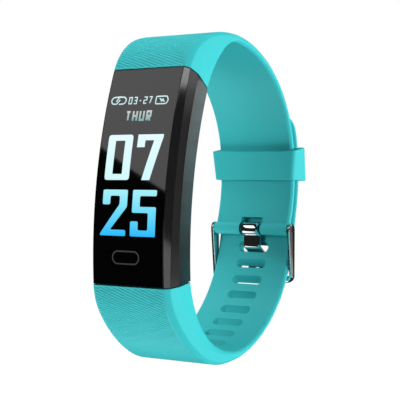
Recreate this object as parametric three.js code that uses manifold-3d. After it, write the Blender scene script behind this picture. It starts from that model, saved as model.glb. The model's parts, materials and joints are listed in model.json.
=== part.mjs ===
// A fitness tracker band, fastened into a closed loop.
//
// Axes: X runs across the strap, Y runs from the screen towards the wrist and the buckle, and
// Z runs up along the capsule. Sizes are in millimetres. Everything is first laid out in the
// loop's own plane, whose origin is at the middle of the chord between the lens's two ends;
// the finished group is then moved so that the origin is the middle of the wrist opening.
import * as THREE from 'three';
import { mergeVertices } from 'three/addons/utils/BufferGeometryUtils.js';
import Module from 'manifold-3d';

const wasm = await Module();
wasm.setup();

// ---- driving dimensions -------------------------------------------------------------------
const FIT_GAP = 0.25;             // between pieces that are glued or snapped together
const LAYER_GAP = 0.3;            // between the two strap layers

const LENS_ARC_RADIUS = 99;       // the lens, the case and the case's back are concentric
const CAPSULE_CHORD = 40.5;
const CASE_DEPTH = 10.1;
const FACE_HALF_WIDTH = 8.1;      // flat front face, up to the bevel's crease
const SIDE_HALF_WIDTH = 8.9;
const BACK_HALF_WIDTH = 7.0;
const BEVEL_DEPTH = 1.0;
const SIDE_DEPTH = 3.8;           // where the upright side turns into the slanted one
const CASE_WALL = 1.0;
const LENS_THICKNESS = 1.0;
const LENS_RIM = 0.3;

const STRAP_HALF_WIDTH = 9.0;
const STRAP_THICKNESS = 1.5;      // the buckle's strap
const TAIL_THICKNESS = 1.25;      // the strap with the slots
const STRAP_EDGE_BEVEL = 0.45;

const REAR_CENTRE = [8.95, 1.9];  // the arc behind the wrist, (y, z)
const REAR_OUTER_RADIUS = 33.8;
const CROWN_RADIUS = 10.9;        // first bend above the capsule
const CROWN_HEADING = 65;
const CHIN_BENDS = [[11.2, 43], [26.6, 71], [15.7, 99.3]];
const REAR_LEAN = 3.4;            // the slotted strap's straight stretch leans by this, degrees
const TAIL_TIP_ANGLE = 35.6;

const SLOT_COUNT = 12;
const SLOT_LENGTH = 7.0;
const SLOT_WIDTH = 2.2;
const SLOT_PITCH = 3.88;
const TONGUE_SLOT = 8.5;          // from the straight stretch's upper end down to the slot in use
const SLOTS_ABOVE = 4;            // free slots between the slot in use and the tail's tip

const KEEPER_ANGLE = 12.0;        // degrees above the rear arc's centre
const KEEPER_HEIGHT = 6.6;
const KEEPER_WALL = 1.0;

const BAR_ANGLE = -11.85;         // the spring bar's place on the rear arc, degrees
const BAR_RADIUS = 0.75;
const BAR_HALF_LENGTH = 7.5;
const BAR_BORE_RADIUS = 0.5;
const TIP_RADIUS = 0.4;
const TIP_COLLAR_RADIUS = 0.68;
const TIP_TRAVEL = 0.9;
const BAR_CLEARANCE = 0.15;       // round the bar, in the strap's rolled end
const ROLL_BORE_RADIUS = BAR_RADIUS + BAR_CLEARANCE;
const ROLL_WALL = 0.42;
const ROLL_RADIUS = ROLL_BORE_RADIUS + ROLL_WALL;
const ROLL_PROUD = 0.52;          // how far the roll stands past the strap's outer face
const BAR_ARC_RADIUS = REAR_OUTER_RADIUS + ROLL_PROUD - ROLL_RADIUS;
const NOTCH_HALF_WIDTH = 2.6;

const ARM_THICKNESS = 0.7;
const ARM_GAP = 0.1;
const FRAME_BAR_RADIUS = 0.7;
const FRAME_BAR_LEVEL = -15.1;
const FRAME_BAR_INSET = 1.66;     // how far the strap has curved in, at the frame bar's level
const TONGUE_WIDTH = 4.2;
const TONGUE_THICKNESS = 0.6;

const RELEASE_PIVOT = [41.75, -17.4];  // where the slotted strap flexes as its end is pulled off
const RELEASE_ANGLE = 22;
const FLEX_GAP = 0.6;
const PLUG_WIDTH = 12;
const PLUG_THICKNESS = 2.2;
const PLUG_LENGTH = 9;
const PLUG_DEPTH = 5.8;           // below the lens's face, at the plug's middle
const PEG_LENGTH = 6.5;
const SOCKET_GAP = 0.4;

const WRIST_CENTRE = [21, -1];

// ---- paths in the loop's plane ------------------------------------------------------------
const rad = THREE.MathUtils.degToRad;

// A rail is a smooth chain of arcs and lines in the (y, z) plane. Its heading is measured from
// +Z towards +Y, so a growing heading turns right.
class Rail {
  constructor(point, headingDegrees) {
    this.point = point;
    this.heading = rad(headingDegrees);
    this.legs = [];
  }

  static right(heading) {
    return [Math.cos(heading), -Math.sin(heading)];
  }

  static onArc(centre, radius, heading) {
    const [ny, nz] = Rail.right(heading);
    return [centre[0] - radius * ny, centre[1] - radius * nz];
  }

  arc(radius, headingDegrees) {
    const [ny, nz] = Rail.right(this.heading);
    const centre = [this.point[0] + radius * ny, this.point[1] + radius * nz];
    const end = rad(headingDegrees);
    this.legs.push({ centre, radius, from: this.heading, to: end, length: radius * (end - this.heading) });
    this.heading = end;
    this.point = Rail.onArc(centre, radius, end);
    return this;
  }

  // The one arc from here that runs smoothly into a given circle from inside it.
  arcOntoCircle(centre, circleRadius) {
    const [ny, nz] = Rail.right(this.heading);
    const q = [this.point[0] - centre[0], this.point[1] - centre[1]];
    const along = q[0] * ny + q[1] * nz;
    const radius = (circleRadius ** 2 - q[0] ** 2 - q[1] ** 2) / (2 * (circleRadius + along));
    const mine = [this.point[0] + radius * ny - centre[0], this.point[1] + radius * nz - centre[1]];
    return this.arc(radius, 180 - THREE.MathUtils.radToDeg(Math.atan2(mine[1], mine[0])));
  }

  // The one arc from here that runs smoothly into the line through a point.
  arcOntoLine(linePoint, headingDegrees) {
    const here = Rail.right(this.heading);
    const there = Rail.right(rad(headingDegrees));
    const offset = (this.point[0] - linePoint[0]) * there[0] + (this.point[1] - linePoint[1]) * there[1];
    return this.arc(offset / (1 - here[0] * there[0] - here[1] * there[1]), headingDegrees);
  }

  line(length) {
    const start = this.point;
    this.legs.push({ start, from: this.heading, to: this.heading, length });
    this.point = [start[0] + length * Math.sin(this.heading), start[1] + length * Math.cos(this.heading)];
    return this;
  }

  get length() {
    return this.legs.reduce((sum, leg) => sum + leg.length, 0);
  }

  // The point and the heading at a distance along the rail.
  at(distance) {
    let rest = distance;
    let leg = this.legs[0];
    for (leg of this.legs) {
      if (rest <= leg.length) break;
      if (leg !== this.legs.at(-1)) rest -= leg.length;
    }
    const heading = leg.from + (leg.to - leg.from) * (rest / leg.length);
    const point = leg.centre
      ? Rail.onArc(leg.centre, leg.radius, heading)
      : [leg.start[0] + rest * Math.sin(heading), leg.start[1] + rest * Math.cos(heading)];
    return { point, heading };
  }
}

// ---- solids -------------------------------------------------------------------------------
function signedVolume(geometry) {
  const p = geometry.getAttribute('position');
  const [a, b, c] = [new THREE.Vector3(), new THREE.Vector3(), new THREE.Vector3()];
  let volume = 0;
  for (let i = 0; i < geometry.index.count; i += 3) {
    a.fromBufferAttribute(p, geometry.index.getX(i));
    b.fromBufferAttribute(p, geometry.index.getX(i + 1));
    c.fromBufferAttribute(p, geometry.index.getX(i + 2));
    volume += a.dot(b.cross(c)) / 6;
  }
  return volume;
}

// A closed skin over a row of equal-sized polygons, capped at both ends.
function loft(rings) {
  const count = rings[0].length;
  const positions = rings.flat().flatMap((v) => [v.x, v.y, v.z]);
  const faces = [];
  for (let r = 0; r + 1 < rings.length; r += 1) {
    for (let i = 0; i < count; i += 1) {
      const a = r * count + i;
      const b = r * count + ((i + 1) % count);
      faces.push(a, b, b + count, a, b + count, a + count);
    }
  }
  const flat = rings[0].map((v, i) => new THREE.Vector2(v.x, rings[0][i].distanceTo(rings[0][0].clone().setX(v.x))));
  const cap = THREE.ShapeUtils.triangulateShape(flat, []);
  const turned = THREE.ShapeUtils.isClockWise(flat);
  const last = (rings.length - 1) * count;
  for (const [a, b, c] of cap) {
    const [i, j] = turned ? [b, c] : [c, b];
    faces.push(a, i, j, last + a, last + j, last + i);
  }
  const geometry = new THREE.BufferGeometry();
  geometry.setAttribute('position', new THREE.Float32BufferAttribute(positions, 3));
  geometry.setIndex(faces);
  if (signedVolume(geometry) < 0) {
    for (let i = 0; i < faces.length; i += 3) [faces[i], faces[i + 1]] = [faces[i + 1], faces[i]];
    geometry.setIndex(faces);
  }
  return geometry;
}

function solid(geometry) {
  const bare = geometry.clone();
  bare.deleteAttribute('normal');
  bare.deleteAttribute('uv');
  const merged = mergeVertices(bare, 1e-4);
  return new wasm.Manifold(new wasm.Mesh({
    numProp: 3,
    vertProperties: new Float32Array(merged.getAttribute('position').array),
    triVerts: new Uint32Array(merged.index.array),
  }));
}

function geometryOf(manifold) {
  const { vertProperties, triVerts } = manifold.getMesh();
  const geometry = new THREE.BufferGeometry();
  geometry.setAttribute('position', new THREE.BufferAttribute(new Float32Array(vertProperties), 3));
  geometry.setIndex(Array.from(triVerts));
  return geometry;
}

function cut(body, ...tools) {
  return geometryOf(tools.reduce((rest, tool) => rest.subtract(solid(tool)), solid(body)));
}

function box(x0, x1, y0, y1, z0, z1) {
  const geometry = new THREE.BoxGeometry(x1 - x0, y1 - y0, z1 - z0);
  return geometry.translate((x0 + x1) / 2, (y0 + y1) / 2, (z0 + z1) / 2);
}

// A cylinder along X between two stations.
function rodX(radius, x0, x1, [y, z], sides = 20) {
  const geometry = new THREE.CylinderGeometry(radius, radius, x1 - x0, sides);
  return geometry.rotateZ(Math.PI / 2).translate((x0 + x1) / 2, y, z);
}

// A disc or ring about the Y axis, from a profile of [radius, y] that closes on itself.
function turnedY(profile, [x, z], sides = 28) {
  const points = [...profile, profile[0]].map(([r, y]) => new THREE.Vector2(r, y));
  return new THREE.LatheGeometry(points, sides).translate(x, 0, z);
}

// A flat outline in the (y, z) plane, made thick along X about x = 0.
function plateX(shape, width, x = 0) {
  const geometry = new THREE.ExtrudeGeometry(shape, { depth: width, bevelEnabled: false, curveSegments: 12 });
  return geometry.applyMatrix4(new THREE.Matrix4().set(
    0, 0, 1, x - width / 2,
    1, 0, 0, 0,
    0, 1, 0, 0,
    0, 0, 0, 1,
  ));
}

// A stadium or rounded rectangle centred on the origin.
function roundedRect(width, height, radius) {
  const [w, h, k] = [width / 2, height / 2, Math.min(radius, width / 2, height / 2)];
  const shape = new THREE.Shape();
  shape.absarc(w - k, -h + k, k, -Math.PI / 2, 0);
  shape.absarc(w - k, h - k, k, 0, Math.PI / 2);
  shape.absarc(-w + k, h - k, k, Math.PI / 2, Math.PI);
  shape.absarc(-w + k, -h + k, k, Math.PI, 1.5 * Math.PI);
  shape.closePath();
  return shape;
}

// ---- capsule frame ------------------------------------------------------------------------
const HALF_CHORD = CAPSULE_CHORD / 2;
const LENS_CENTRE_Y = Math.sqrt(LENS_ARC_RADIUS ** 2 - HALF_CHORD ** 2);
const END_ANGLE = Math.asin(HALF_CHORD / LENS_ARC_RADIUS);
const LENS_APEX_Y = LENS_CENTRE_Y - LENS_ARC_RADIUS;

// A point of the capsule by its width, its depth under the lens's face and its angle.
function capsulePoint(x, depth, angle) {
  const r = LENS_ARC_RADIUS - depth;
  return new THREE.Vector3(x, LENS_CENTRE_Y - r * Math.cos(angle), r * Math.sin(angle));
}

// A polygon of [x, depth] carried along the capsule's arc, stopping short of both ends.
function capsuleSlab(polygon, endMargin, stations = 10) {
  const end = END_ANGLE - endMargin / LENS_ARC_RADIUS;
  const rings = Array.from({ length: stations + 1 }, (_, i) => {
    const angle = -end + (2 * end * i) / stations;
    return polygon.map(([x, depth]) => capsulePoint(x, depth, angle));
  });
  return loft(rings);
}

function mirrored(half) {
  return [...half, ...half.map(([x, d]) => [-x, d]).reverse()];
}

// ---- strap rails --------------------------------------------------------------------------
const END_HEADING = THREE.MathUtils.radToDeg(END_ANGLE);
const faceCorner = [0, HALF_CHORD];
const backPoint = capsulePoint(0, CASE_DEPTH, END_ANGLE);
const backCorner = [backPoint.y, backPoint.z];

// The buckle's strap: over the top and down behind the wrist.
const shortOuter = new Rail(faceCorner, END_HEADING).arc(CROWN_RADIUS, CROWN_HEADING)
  .arcOntoCircle(REAR_CENTRE, REAR_OUTER_RADIUS);
const crownLeg = shortOuter.legs[1];
const JOIN_HEADING = THREE.MathUtils.radToDeg(crownLeg.to);
const shortInner = new Rail(backCorner, 0).arc(15, 35)
  .arcOntoCircle(crownLeg.centre, crownLeg.radius - STRAP_THICKNESS);
const CROWN_END = THREE.MathUtils.radToDeg(shortInner.heading);

// The slotted strap, drawn upside down: its z is negated when it is placed.
const upsideDown = ([y, z]) => [y, -z];
const lowCentre = upsideDown(REAR_CENTRE);
const TAIL_OUTER_RADIUS = REAR_OUTER_RADIUS + LAYER_GAP + TAIL_THICKNESS;
const FRAME_BAR_CENTRE = [
  REAR_CENTRE[0] + TAIL_OUTER_RADIUS - FRAME_BAR_INSET + FRAME_BAR_RADIUS, FRAME_BAR_LEVEL];
const lineTop = Rail.onArc(lowCentre, TAIL_OUTER_RADIUS, rad(180 - REAR_LEAN));
const longOuter = new Rail(faceCorner, END_HEADING);
for (const [radius, heading] of CHIN_BENDS) longOuter.arc(radius, heading);
longOuter.arcOntoLine(lineTop, 180 - REAR_LEAN);
const chinLeg = longOuter.legs.at(-1);
const longInner = new Rail(backCorner, 8).arc(17.2, 30)
  .arcOntoCircle(chinLeg.centre, chinLeg.radius - TAIL_THICKNESS);
const CHIN_END = THREE.MathUtils.radToDeg(longInner.heading);

// Half of the strap's cross-section, from the face's middle to the back, as [x, depth].
function strapHalf(thickness) {
  const w = THREE.MathUtils.clamp((thickness - STRAP_THICKNESS) / (CASE_DEPTH - STRAP_THICKNESS), 0, 1);
  const bevel = THREE.MathUtils.lerp(STRAP_EDGE_BEVEL, BEVEL_DEPTH, w);
  const side = Math.min(thickness - STRAP_EDGE_BEVEL * 0.8, 1.1 + (SIDE_DEPTH - 1.1) * w ** 0.6);
  const faceX = THREE.MathUtils.lerp(STRAP_HALF_WIDTH - STRAP_EDGE_BEVEL, FACE_HALF_WIDTH, Math.sqrt(w));
  const sideX = THREE.MathUtils.lerp(STRAP_HALF_WIDTH, SIDE_HALF_WIDTH, w);
  const backX = THREE.MathUtils.lerp(STRAP_HALF_WIDTH - STRAP_EDGE_BEVEL, BACK_HALF_WIDTH, w);
  return [[backX, thickness], [sideX, side], [sideX, bevel], [faceX, 0]];
}

// One cross-section between an outer point and an inner point of the loop's plane.
function strapRing(outer, inner, zSign) {
  const across = [inner[0] - outer[0], inner[1] - outer[1]];
  const thickness = Math.hypot(...across);
  return mirrored(strapHalf(thickness)).map(([x, depth]) => new THREE.Vector3(
    x,
    outer[0] + (across[0] * depth) / thickness,
    zSign * (outer[1] + (across[1] * depth) / thickness),
  ));
}

// The thick shoulder beside the capsule: both rails are walked together from end to end. The
// inner rail starts slowly, because the section planes fan out round the first bend.
function shoulderRings(outerRail, outerStop, innerRail, slowness, zSign, steps) {
  return Array.from({ length: steps + 1 }, (_, i) => {
    const f = i / steps;
    const a = THREE.MathUtils.lerp(FIT_GAP, outerStop, f);
    const b = THREE.MathUtils.lerp(FIT_GAP, innerRail.length, f ** slowness);
    return strapRing(outerRail.at(a).point, innerRail.at(b).point, zSign);
  });
}

// An even layer of strap round an arc, between two headings in degrees.
function arcRings(centre, outerRadius, thickness, from, to, zSign, step = 6) {
  const steps = Math.max(1, Math.ceil(Math.abs(to - from) / step));
  return Array.from({ length: steps }, (_, i) => {
    const heading = rad(from + ((to - from) * (i + 1)) / steps);
    const outer = Rail.onArc(centre, outerRadius, heading);
    const inner = Rail.onArc(centre, outerRadius - thickness, heading);
    return strapRing(outer, inner, zSign);
  });
}

// ---- assembly -----------------------------------------------------------------------------
const group = new THREE.Group();
group.position.set(0, -WRIST_CENTRE[0], -WRIST_CENTRE[1]);

const FINISH = {
  glass: { color: 0x08090a, roughness: 0.06, metalness: 0 },
  casePlastic: { color: 0x2c2d2f, roughness: 0.38, metalness: 0 },
  silicone: { color: 0x3fbfc3, roughness: 0.5, metalness: 0 },
  chrome: { color: 0xd6d8da, roughness: 0.12, metalness: 1 },
  steel: { color: 0xb4b6b8, roughness: 0.3, metalness: 1 },
  gold: { color: 0xd9b45a, roughness: 0.28, metalness: 1 },
  board: { color: 0x1d4f38, roughness: 0.45, metalness: 0 },
  chip: { color: 0x1b1c1e, roughness: 0.5, metalness: 0 },
  foil: { color: 0xbfc2c6, roughness: 0.35, metalness: 1 },
  clearPlastic: { color: 0x101214, roughness: 0.1, metalness: 0 },
  ledResin: { color: 0xbff2c8, roughness: 0.2, metalness: 0 },
};

function add(name, geometry, finish) {
  const mesh = new THREE.Mesh(geometry, new THREE.MeshStandardMaterial(FINISH[finish]));
  mesh.name = name;
  group.add(mesh);
}

// Lens and case --------------------------------------------------------------------------
const LENS_HALF_WIDTH = FACE_HALF_WIDTH - LENS_RIM - FIT_GAP;
const CAVITY_HALF_WIDTH = LENS_HALF_WIDTH - 0.5;
const LEDGE_DEPTH = LENS_THICKNESS + FIT_GAP;
const SEAM_HALF_GAP = 0.1;

add('cover_lens', capsuleSlab(
  mirrored([[LENS_HALF_WIDTH, LENS_THICKNESS], [LENS_HALF_WIDTH, 0]]),
  LENS_RIM + FIT_GAP, 14), 'glass');

const upperBlock = capsuleSlab(mirrored([
  [SIDE_HALF_WIDTH, SIDE_DEPTH - SEAM_HALF_GAP], [SIDE_HALF_WIDTH, BEVEL_DEPTH], [FACE_HALF_WIDTH, 0],
]), 0);
const lensPocket = capsuleSlab(mirrored([
  [FACE_HALF_WIDTH - LENS_RIM, LEDGE_DEPTH], [FACE_HALF_WIDTH - LENS_RIM, -1],
]), LENS_RIM);
const upperCavity = capsuleSlab(mirrored([
  [CAVITY_HALF_WIDTH, SIDE_DEPTH + 1], [CAVITY_HALF_WIDTH, LEDGE_DEPTH / 2],
]), CASE_WALL + FIT_GAP);
add('upper_case', cut(upperBlock, lensPocket, upperCavity), 'casePlastic');

// The slanted side, and the same slant one wall further in.
const slant = (SIDE_HALF_WIDTH - BACK_HALF_WIDTH) / (CASE_DEPTH - SIDE_DEPTH);
const sideXAt = (depth) => SIDE_HALF_WIDTH - slant * (depth - SIDE_DEPTH);
const FLOOR_DEPTH = CASE_DEPTH - CASE_WALL;
const lowerBlock = capsuleSlab(mirrored([
  [BACK_HALF_WIDTH, CASE_DEPTH], [SIDE_HALF_WIDTH, SIDE_DEPTH + SEAM_HALF_GAP],
]), 0);
const lowerCavity = capsuleSlab(mirrored([
  [sideXAt(FLOOR_DEPTH) - CASE_WALL, FLOOR_DEPTH], [sideXAt(SIDE_DEPTH) - CASE_WALL, SIDE_DEPTH - 1],
]), CASE_WALL);

// Pieces at the capsule's ends are laid out along the end plane's normal: x across, y down
// into the case's depth and z away from the case.
function atCapsuleEnd(geometry, depth, zSign) {
  const origin = capsulePoint(0, depth, END_ANGLE);
  const along = new THREE.Vector3(0, Math.sin(END_ANGLE), Math.cos(END_ANGLE));
  const down = new THREE.Vector3(0, Math.cos(END_ANGLE), -Math.sin(END_ANGLE));
  const place = new THREE.Matrix4().makeBasis(new THREE.Vector3(1, 0, 0), down, along).setPosition(origin);
  geometry.applyMatrix4(place);
  if (zSign > 0) return geometry;
  // Turned over for the lower end: half a turn about Y keeps the faces pointing out.
  return geometry.rotateY(Math.PI);
}

const plugBox = (clearance, from, to) => box(
  -PLUG_WIDTH / 2 - clearance, PLUG_WIDTH / 2 + clearance,
  -PLUG_THICKNESS / 2 - clearance, PLUG_THICKNESS / 2 + clearance, from, to);
const plugHole = atCapsuleEnd(plugBox(FIT_GAP, -3, 3), PLUG_DEPTH, -1);
const pegHole = atCapsuleEnd(plugBox(FIT_GAP, -3, 3), PLUG_DEPTH, 1);

const WINDOW_HALF_WIDTH = 4;
const WINDOW_HALF_LENGTH = 7;
const WINDOW_FACE_Y = LENS_APEX_Y + CASE_DEPTH + 0.5;
const windowPlate = (margin, y0, y1) => {
  const shape = roundedRect(2 * (WINDOW_HALF_WIDTH + margin), 2 * (WINDOW_HALF_LENGTH + margin), 3);
  const plate = new THREE.ExtrudeGeometry(shape, { depth: y1 - y0, bevelEnabled: false, curveSegments: 6 });
  return plate.rotateX(Math.PI / 2).translate(0, y1, 0);
};
const windowHole = windowPlate(FIT_GAP, WINDOW_FACE_Y - 3, WINDOW_FACE_Y + 1);
add('lower_case', cut(lowerBlock, lowerCavity, plugHole, pegHole, windowHole), 'casePlastic');
add('sensor_window', windowPlate(0, WINDOW_FACE_Y - 1.2, WINDOW_FACE_Y), 'clearPlastic');

const gasketRing = (half, margin) => capsuleSlab(mirrored([
  [half, SIDE_DEPTH + 0.45], [half, SIDE_DEPTH - 0.45],
]), margin);
const GASKET_HALF_WIDTH = CAVITY_HALF_WIDTH - FIT_GAP;
const gasketInside = capsuleSlab(mirrored([
  [GASKET_HALF_WIDTH - 0.4, SIDE_DEPTH + 1], [GASKET_HALF_WIDTH - 0.4, SIDE_DEPTH - 1],
]), CASE_WALL + 2 * FIT_GAP + 0.4);
add('seal_gasket', cut(gasketRing(GASKET_HALF_WIDTH, CASE_WALL + 2 * FIT_GAP), gasketInside), 'chip');

// Electronics ----------------------------------------------------------------------------
const DISPLAY_DEPTH = 2.243;       // behind the lens's highest point
const DISPLAY = { halfWidth: 6.3, halfLength: 12.8, y: LENS_APEX_Y + DISPLAY_DEPTH, thickness: 1.0 };
const BOARD = { halfWidth: 6.1, halfLength: 17.2, thickness: 0.6 };
const BOARD_Y = DISPLAY.y + DISPLAY.thickness + 0.25;
const CHIP_Y = BOARD_Y + BOARD.thickness;

add('display_panel', box(-DISPLAY.halfWidth, DISPLAY.halfWidth, DISPLAY.y,
  DISPLAY.y + DISPLAY.thickness, -DISPLAY.halfLength, DISPLAY.halfLength), 'glass');
add('main_board', box(-BOARD.halfWidth, BOARD.halfWidth, BOARD_Y, CHIP_Y,
  -BOARD.halfLength, BOARD.halfLength), 'board');

const KEY_DEPTH = 2.693;
const KEY_Y = LENS_APEX_Y + KEY_DEPTH;
add('touch_key_pad', box(-3.1, 3.1, KEY_Y, KEY_Y + 0.2, -16.4, -14), 'gold');

// Chips on the board's back: name, centre x, centre z, width, length, height.
const chips = [
  ['processor_chip', -2.6, 12.6, 5, 5, 0.7],
  ['memory_chip', 2.9, 12.9, 4, 3, 0.6],
  ['radio_chip', 3.2, 9.4, 3, 3, 0.6],
  ['motion_sensor_chip', -3.6, 8.3, 2.5, 2.5, 0.55],
  ['charger_chip', -0.2, 8.2, 2, 2, 0.5],
  ['radio_antenna', 0, 16.3, 9, 1.2, 0.8],
];
const CHIP_GAP = 0.05;
for (const [name, x, z, width, length, height] of chips) {
  add(name, box(x - width / 2, x + width / 2, CHIP_Y + CHIP_GAP, CHIP_Y + CHIP_GAP + height,
    z - length / 2, z + length / 2), name === 'radio_antenna' ? 'foil' : 'chip');
}

const BATTERY = { halfWidth: 5.6, thickness: 2.7, low: -8.6, high: 13.6 };
const BATTERY_Y = CHIP_Y + 1.0;
const BATTERY_BACK = BATTERY_Y + BATTERY.thickness;
add('battery_cell', box(-BATTERY.halfWidth, BATTERY.halfWidth, BATTERY_Y, BATTERY_BACK,
  BATTERY.low, BATTERY.high), 'foil');
[['battery_tab_left', -3], ['battery_tab_right', 1.5]].forEach(([name, x]) => {
  add(name, box(x, x + 1.5, BATTERY_Y + 0.4, BATTERY_Y + 0.6, BATTERY.high + 0.1, BATTERY.high + 1.8), 'steel');
});

// The pulse sensor looks out of the window: two green lamps beside a light sensor.
const SENSOR_BOARD_Y = BATTERY_BACK + 0.1;
const LED_Y = SENSOR_BOARD_Y + 0.35;
add('sensor_board', box(-3.6, 3.6, SENSOR_BOARD_Y, SENSOR_BOARD_Y + 0.3, -6.4, 6.4), 'board');
[['pulse_led_upper', 3.8], ['pulse_led_lower', -3.8]].forEach(([name, z]) => {
  add(name, box(-0.8, 0.8, LED_Y, LED_Y + 0.4, z - 0.8, z + 0.8), 'ledResin');
});
add('pulse_photodiode', box(-1.2, 1.2, LED_Y, LED_Y + 0.35, -1.2, 1.2), 'chip');
add('light_shield', cut(
  box(-2, 2, LED_Y, LED_Y + 0.5, -2, 2),
  box(-1.5, 1.5, LED_Y - 1, LED_Y + 1, -1.5, 1.5)), 'chip');

// Vibration motor: a coin with an off-centre weight.
const MOTOR_CENTRE = [0, -13.2];
const MOTOR_RADIUS = 4;
const MOTOR_FRONT = CHIP_Y + 0.3;
const MOTOR_BACK = MOTOR_FRONT + 2.7;
add('motor_base', turnedY([[0, MOTOR_BACK], [0, MOTOR_BACK - 0.4], [MOTOR_RADIUS - 0.5, MOTOR_BACK - 0.4],
  [MOTOR_RADIUS - 0.5, MOTOR_BACK]], MOTOR_CENTRE), 'steel');
add('motor_cover', turnedY([[0, MOTOR_FRONT], [MOTOR_RADIUS, MOTOR_FRONT], [MOTOR_RADIUS, MOTOR_BACK],
  [MOTOR_RADIUS - 0.25, MOTOR_BACK], [MOTOR_RADIUS - 0.25, MOTOR_FRONT + 0.25],
  [0, MOTOR_FRONT + 0.25]], MOTOR_CENTRE), 'steel');
const weight = new THREE.Shape();
weight.absarc(0, 0, 0.9, rad(10), rad(170), true);
weight.absarc(0, 0, 3.2, rad(170), rad(10), true);
weight.closePath();
const ROTOR_THICKNESS = 1.3;
const rotor = new THREE.ExtrudeGeometry(weight, { depth: ROTOR_THICKNESS, bevelEnabled: false, curveSegments: 16 });
rotor.rotateX(Math.PI / 2).translate(MOTOR_CENTRE[0], MOTOR_FRONT + 0.5 + ROTOR_THICKNESS, MOTOR_CENTRE[1]);
add('motor_rotor', rotor, 'steel');

// Charging plug at the lower end, and a plain peg at the upper end.
const TONGUE_ROOT = -CASE_WALL;
add('usb_tongue', atCapsuleEnd(plugBox(0, TONGUE_ROOT, PLUG_LENGTH), PLUG_DEPTH, -1), 'casePlastic');
const CONTACT_PITCH = 2.5;
for (let i = 0; i < 4; i += 1) {
  const x = (i - 1.5) * CONTACT_PITCH;
  const top = -PLUG_THICKNESS / 2 - 0.05;
  const contact = box(x - 0.5, x + 0.5, top - 0.15, top, 0.8, PLUG_LENGTH - 0.6);
  add(`usb_contact_${i + 1}`, atCapsuleEnd(contact, PLUG_DEPTH, -1), 'gold');
}
add('strap_peg', atCapsuleEnd(plugBox(0, TONGUE_ROOT, PEG_LENGTH), PLUG_DEPTH, 1), 'casePlastic');

// Buckle's strap -------------------------------------------------------------------------
const barAngle = rad(BAR_ANGLE);
const BAR_CENTRE = [
  REAR_CENTRE[0] + BAR_ARC_RADIUS * Math.cos(barAngle),
  REAR_CENTRE[1] + BAR_ARC_RADIUS * Math.sin(barAngle),
];
const crownStop = shortOuter.legs[0].length
  + crownLeg.radius * (rad(CROWN_END) - crownLeg.from);
const shortRings = [
  ...shoulderRings(shortOuter, crownStop, shortInner, 2, 1, 12),
  ...arcRings(crownLeg.centre, crownLeg.radius, STRAP_THICKNESS, CROWN_END, JOIN_HEADING, 1),
  ...arcRings(REAR_CENTRE, REAR_OUTER_RADIUS, STRAP_THICKNESS, JOIN_HEADING, 180 - BAR_ANGLE, 1),
];
const roll = rodX(ROLL_RADIUS, -STRAP_HALF_WIDTH, STRAP_HALF_WIDTH, BAR_CENTRE, 24);
const NOTCH_RISE = 2.4;
const rollNotch = box(-NOTCH_HALF_WIDTH, NOTCH_HALF_WIDTH, BAR_CENTRE[0] - 4, BAR_CENTRE[0] + 4,
  BAR_CENTRE[1] - 4, BAR_CENTRE[1] + NOTCH_RISE);
const pegSocket = atCapsuleEnd(plugBox(FIT_GAP, -1, PEG_LENGTH + FIT_GAP), PLUG_DEPTH, 1);
add('short_strap', geometryOf(solid(loft(shortRings)).add(solid(roll))
  .subtract(solid(rodX(ROLL_BORE_RADIUS, -20, 20, BAR_CENTRE, 24)))
  .subtract(solid(rollNotch)).subtract(solid(pegSocket))), 'silicone');

// Slotted strap --------------------------------------------------------------------------
const chinStop = longOuter.length - chinLeg.radius * (rad(180 - REAR_LEAN) - rad(CHIN_END));
const straightLength = Math.hypot(longOuter.point[0] - lineTop[0], longOuter.point[1] - lineTop[1]);
const pivotHeading = THREE.MathUtils.radToDeg(Math.PI
  - Math.atan2(-RELEASE_PIVOT[1] - chinLeg.centre[1], RELEASE_PIVOT[0] - chinLeg.centre[0]));
const flexHalf = THREE.MathUtils.radToDeg(FLEX_GAP / 2 / chinLeg.radius);

const archRings = [
  ...shoulderRings(longOuter, chinStop, longInner, 1.45, -1, 20),
  ...arcRings(chinLeg.centre, chinLeg.radius, TAIL_THICKNESS, CHIN_END, pivotHeading - flexHalf, -1),
];
const tailStart = pivotHeading + flexHalf;
const [firstTailRing] = arcRings(chinLeg.centre, chinLeg.radius, TAIL_THICKNESS, tailStart, tailStart, -1);
const tailRings = [
  firstTailRing,
  ...arcRings(chinLeg.centre, chinLeg.radius, TAIL_THICKNESS, tailStart, 180 - REAR_LEAN, -1),
  ...arcRings(lowCentre, TAIL_OUTER_RADIUS, TAIL_THICKNESS, 180 - REAR_LEAN - 0.01, 180 - REAR_LEAN, -1),
  ...arcRings(lowCentre, TAIL_OUTER_RADIUS, TAIL_THICKNESS, 180 - REAR_LEAN, 360 - JOIN_HEADING, -1),
  ...arcRings(upsideDown(crownLeg.centre), crownLeg.radius + LAYER_GAP + TAIL_THICKNESS, TAIL_THICKNESS,
    360 - JOIN_HEADING, 180 + TAIL_TIP_ANGLE, -1),
];

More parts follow.
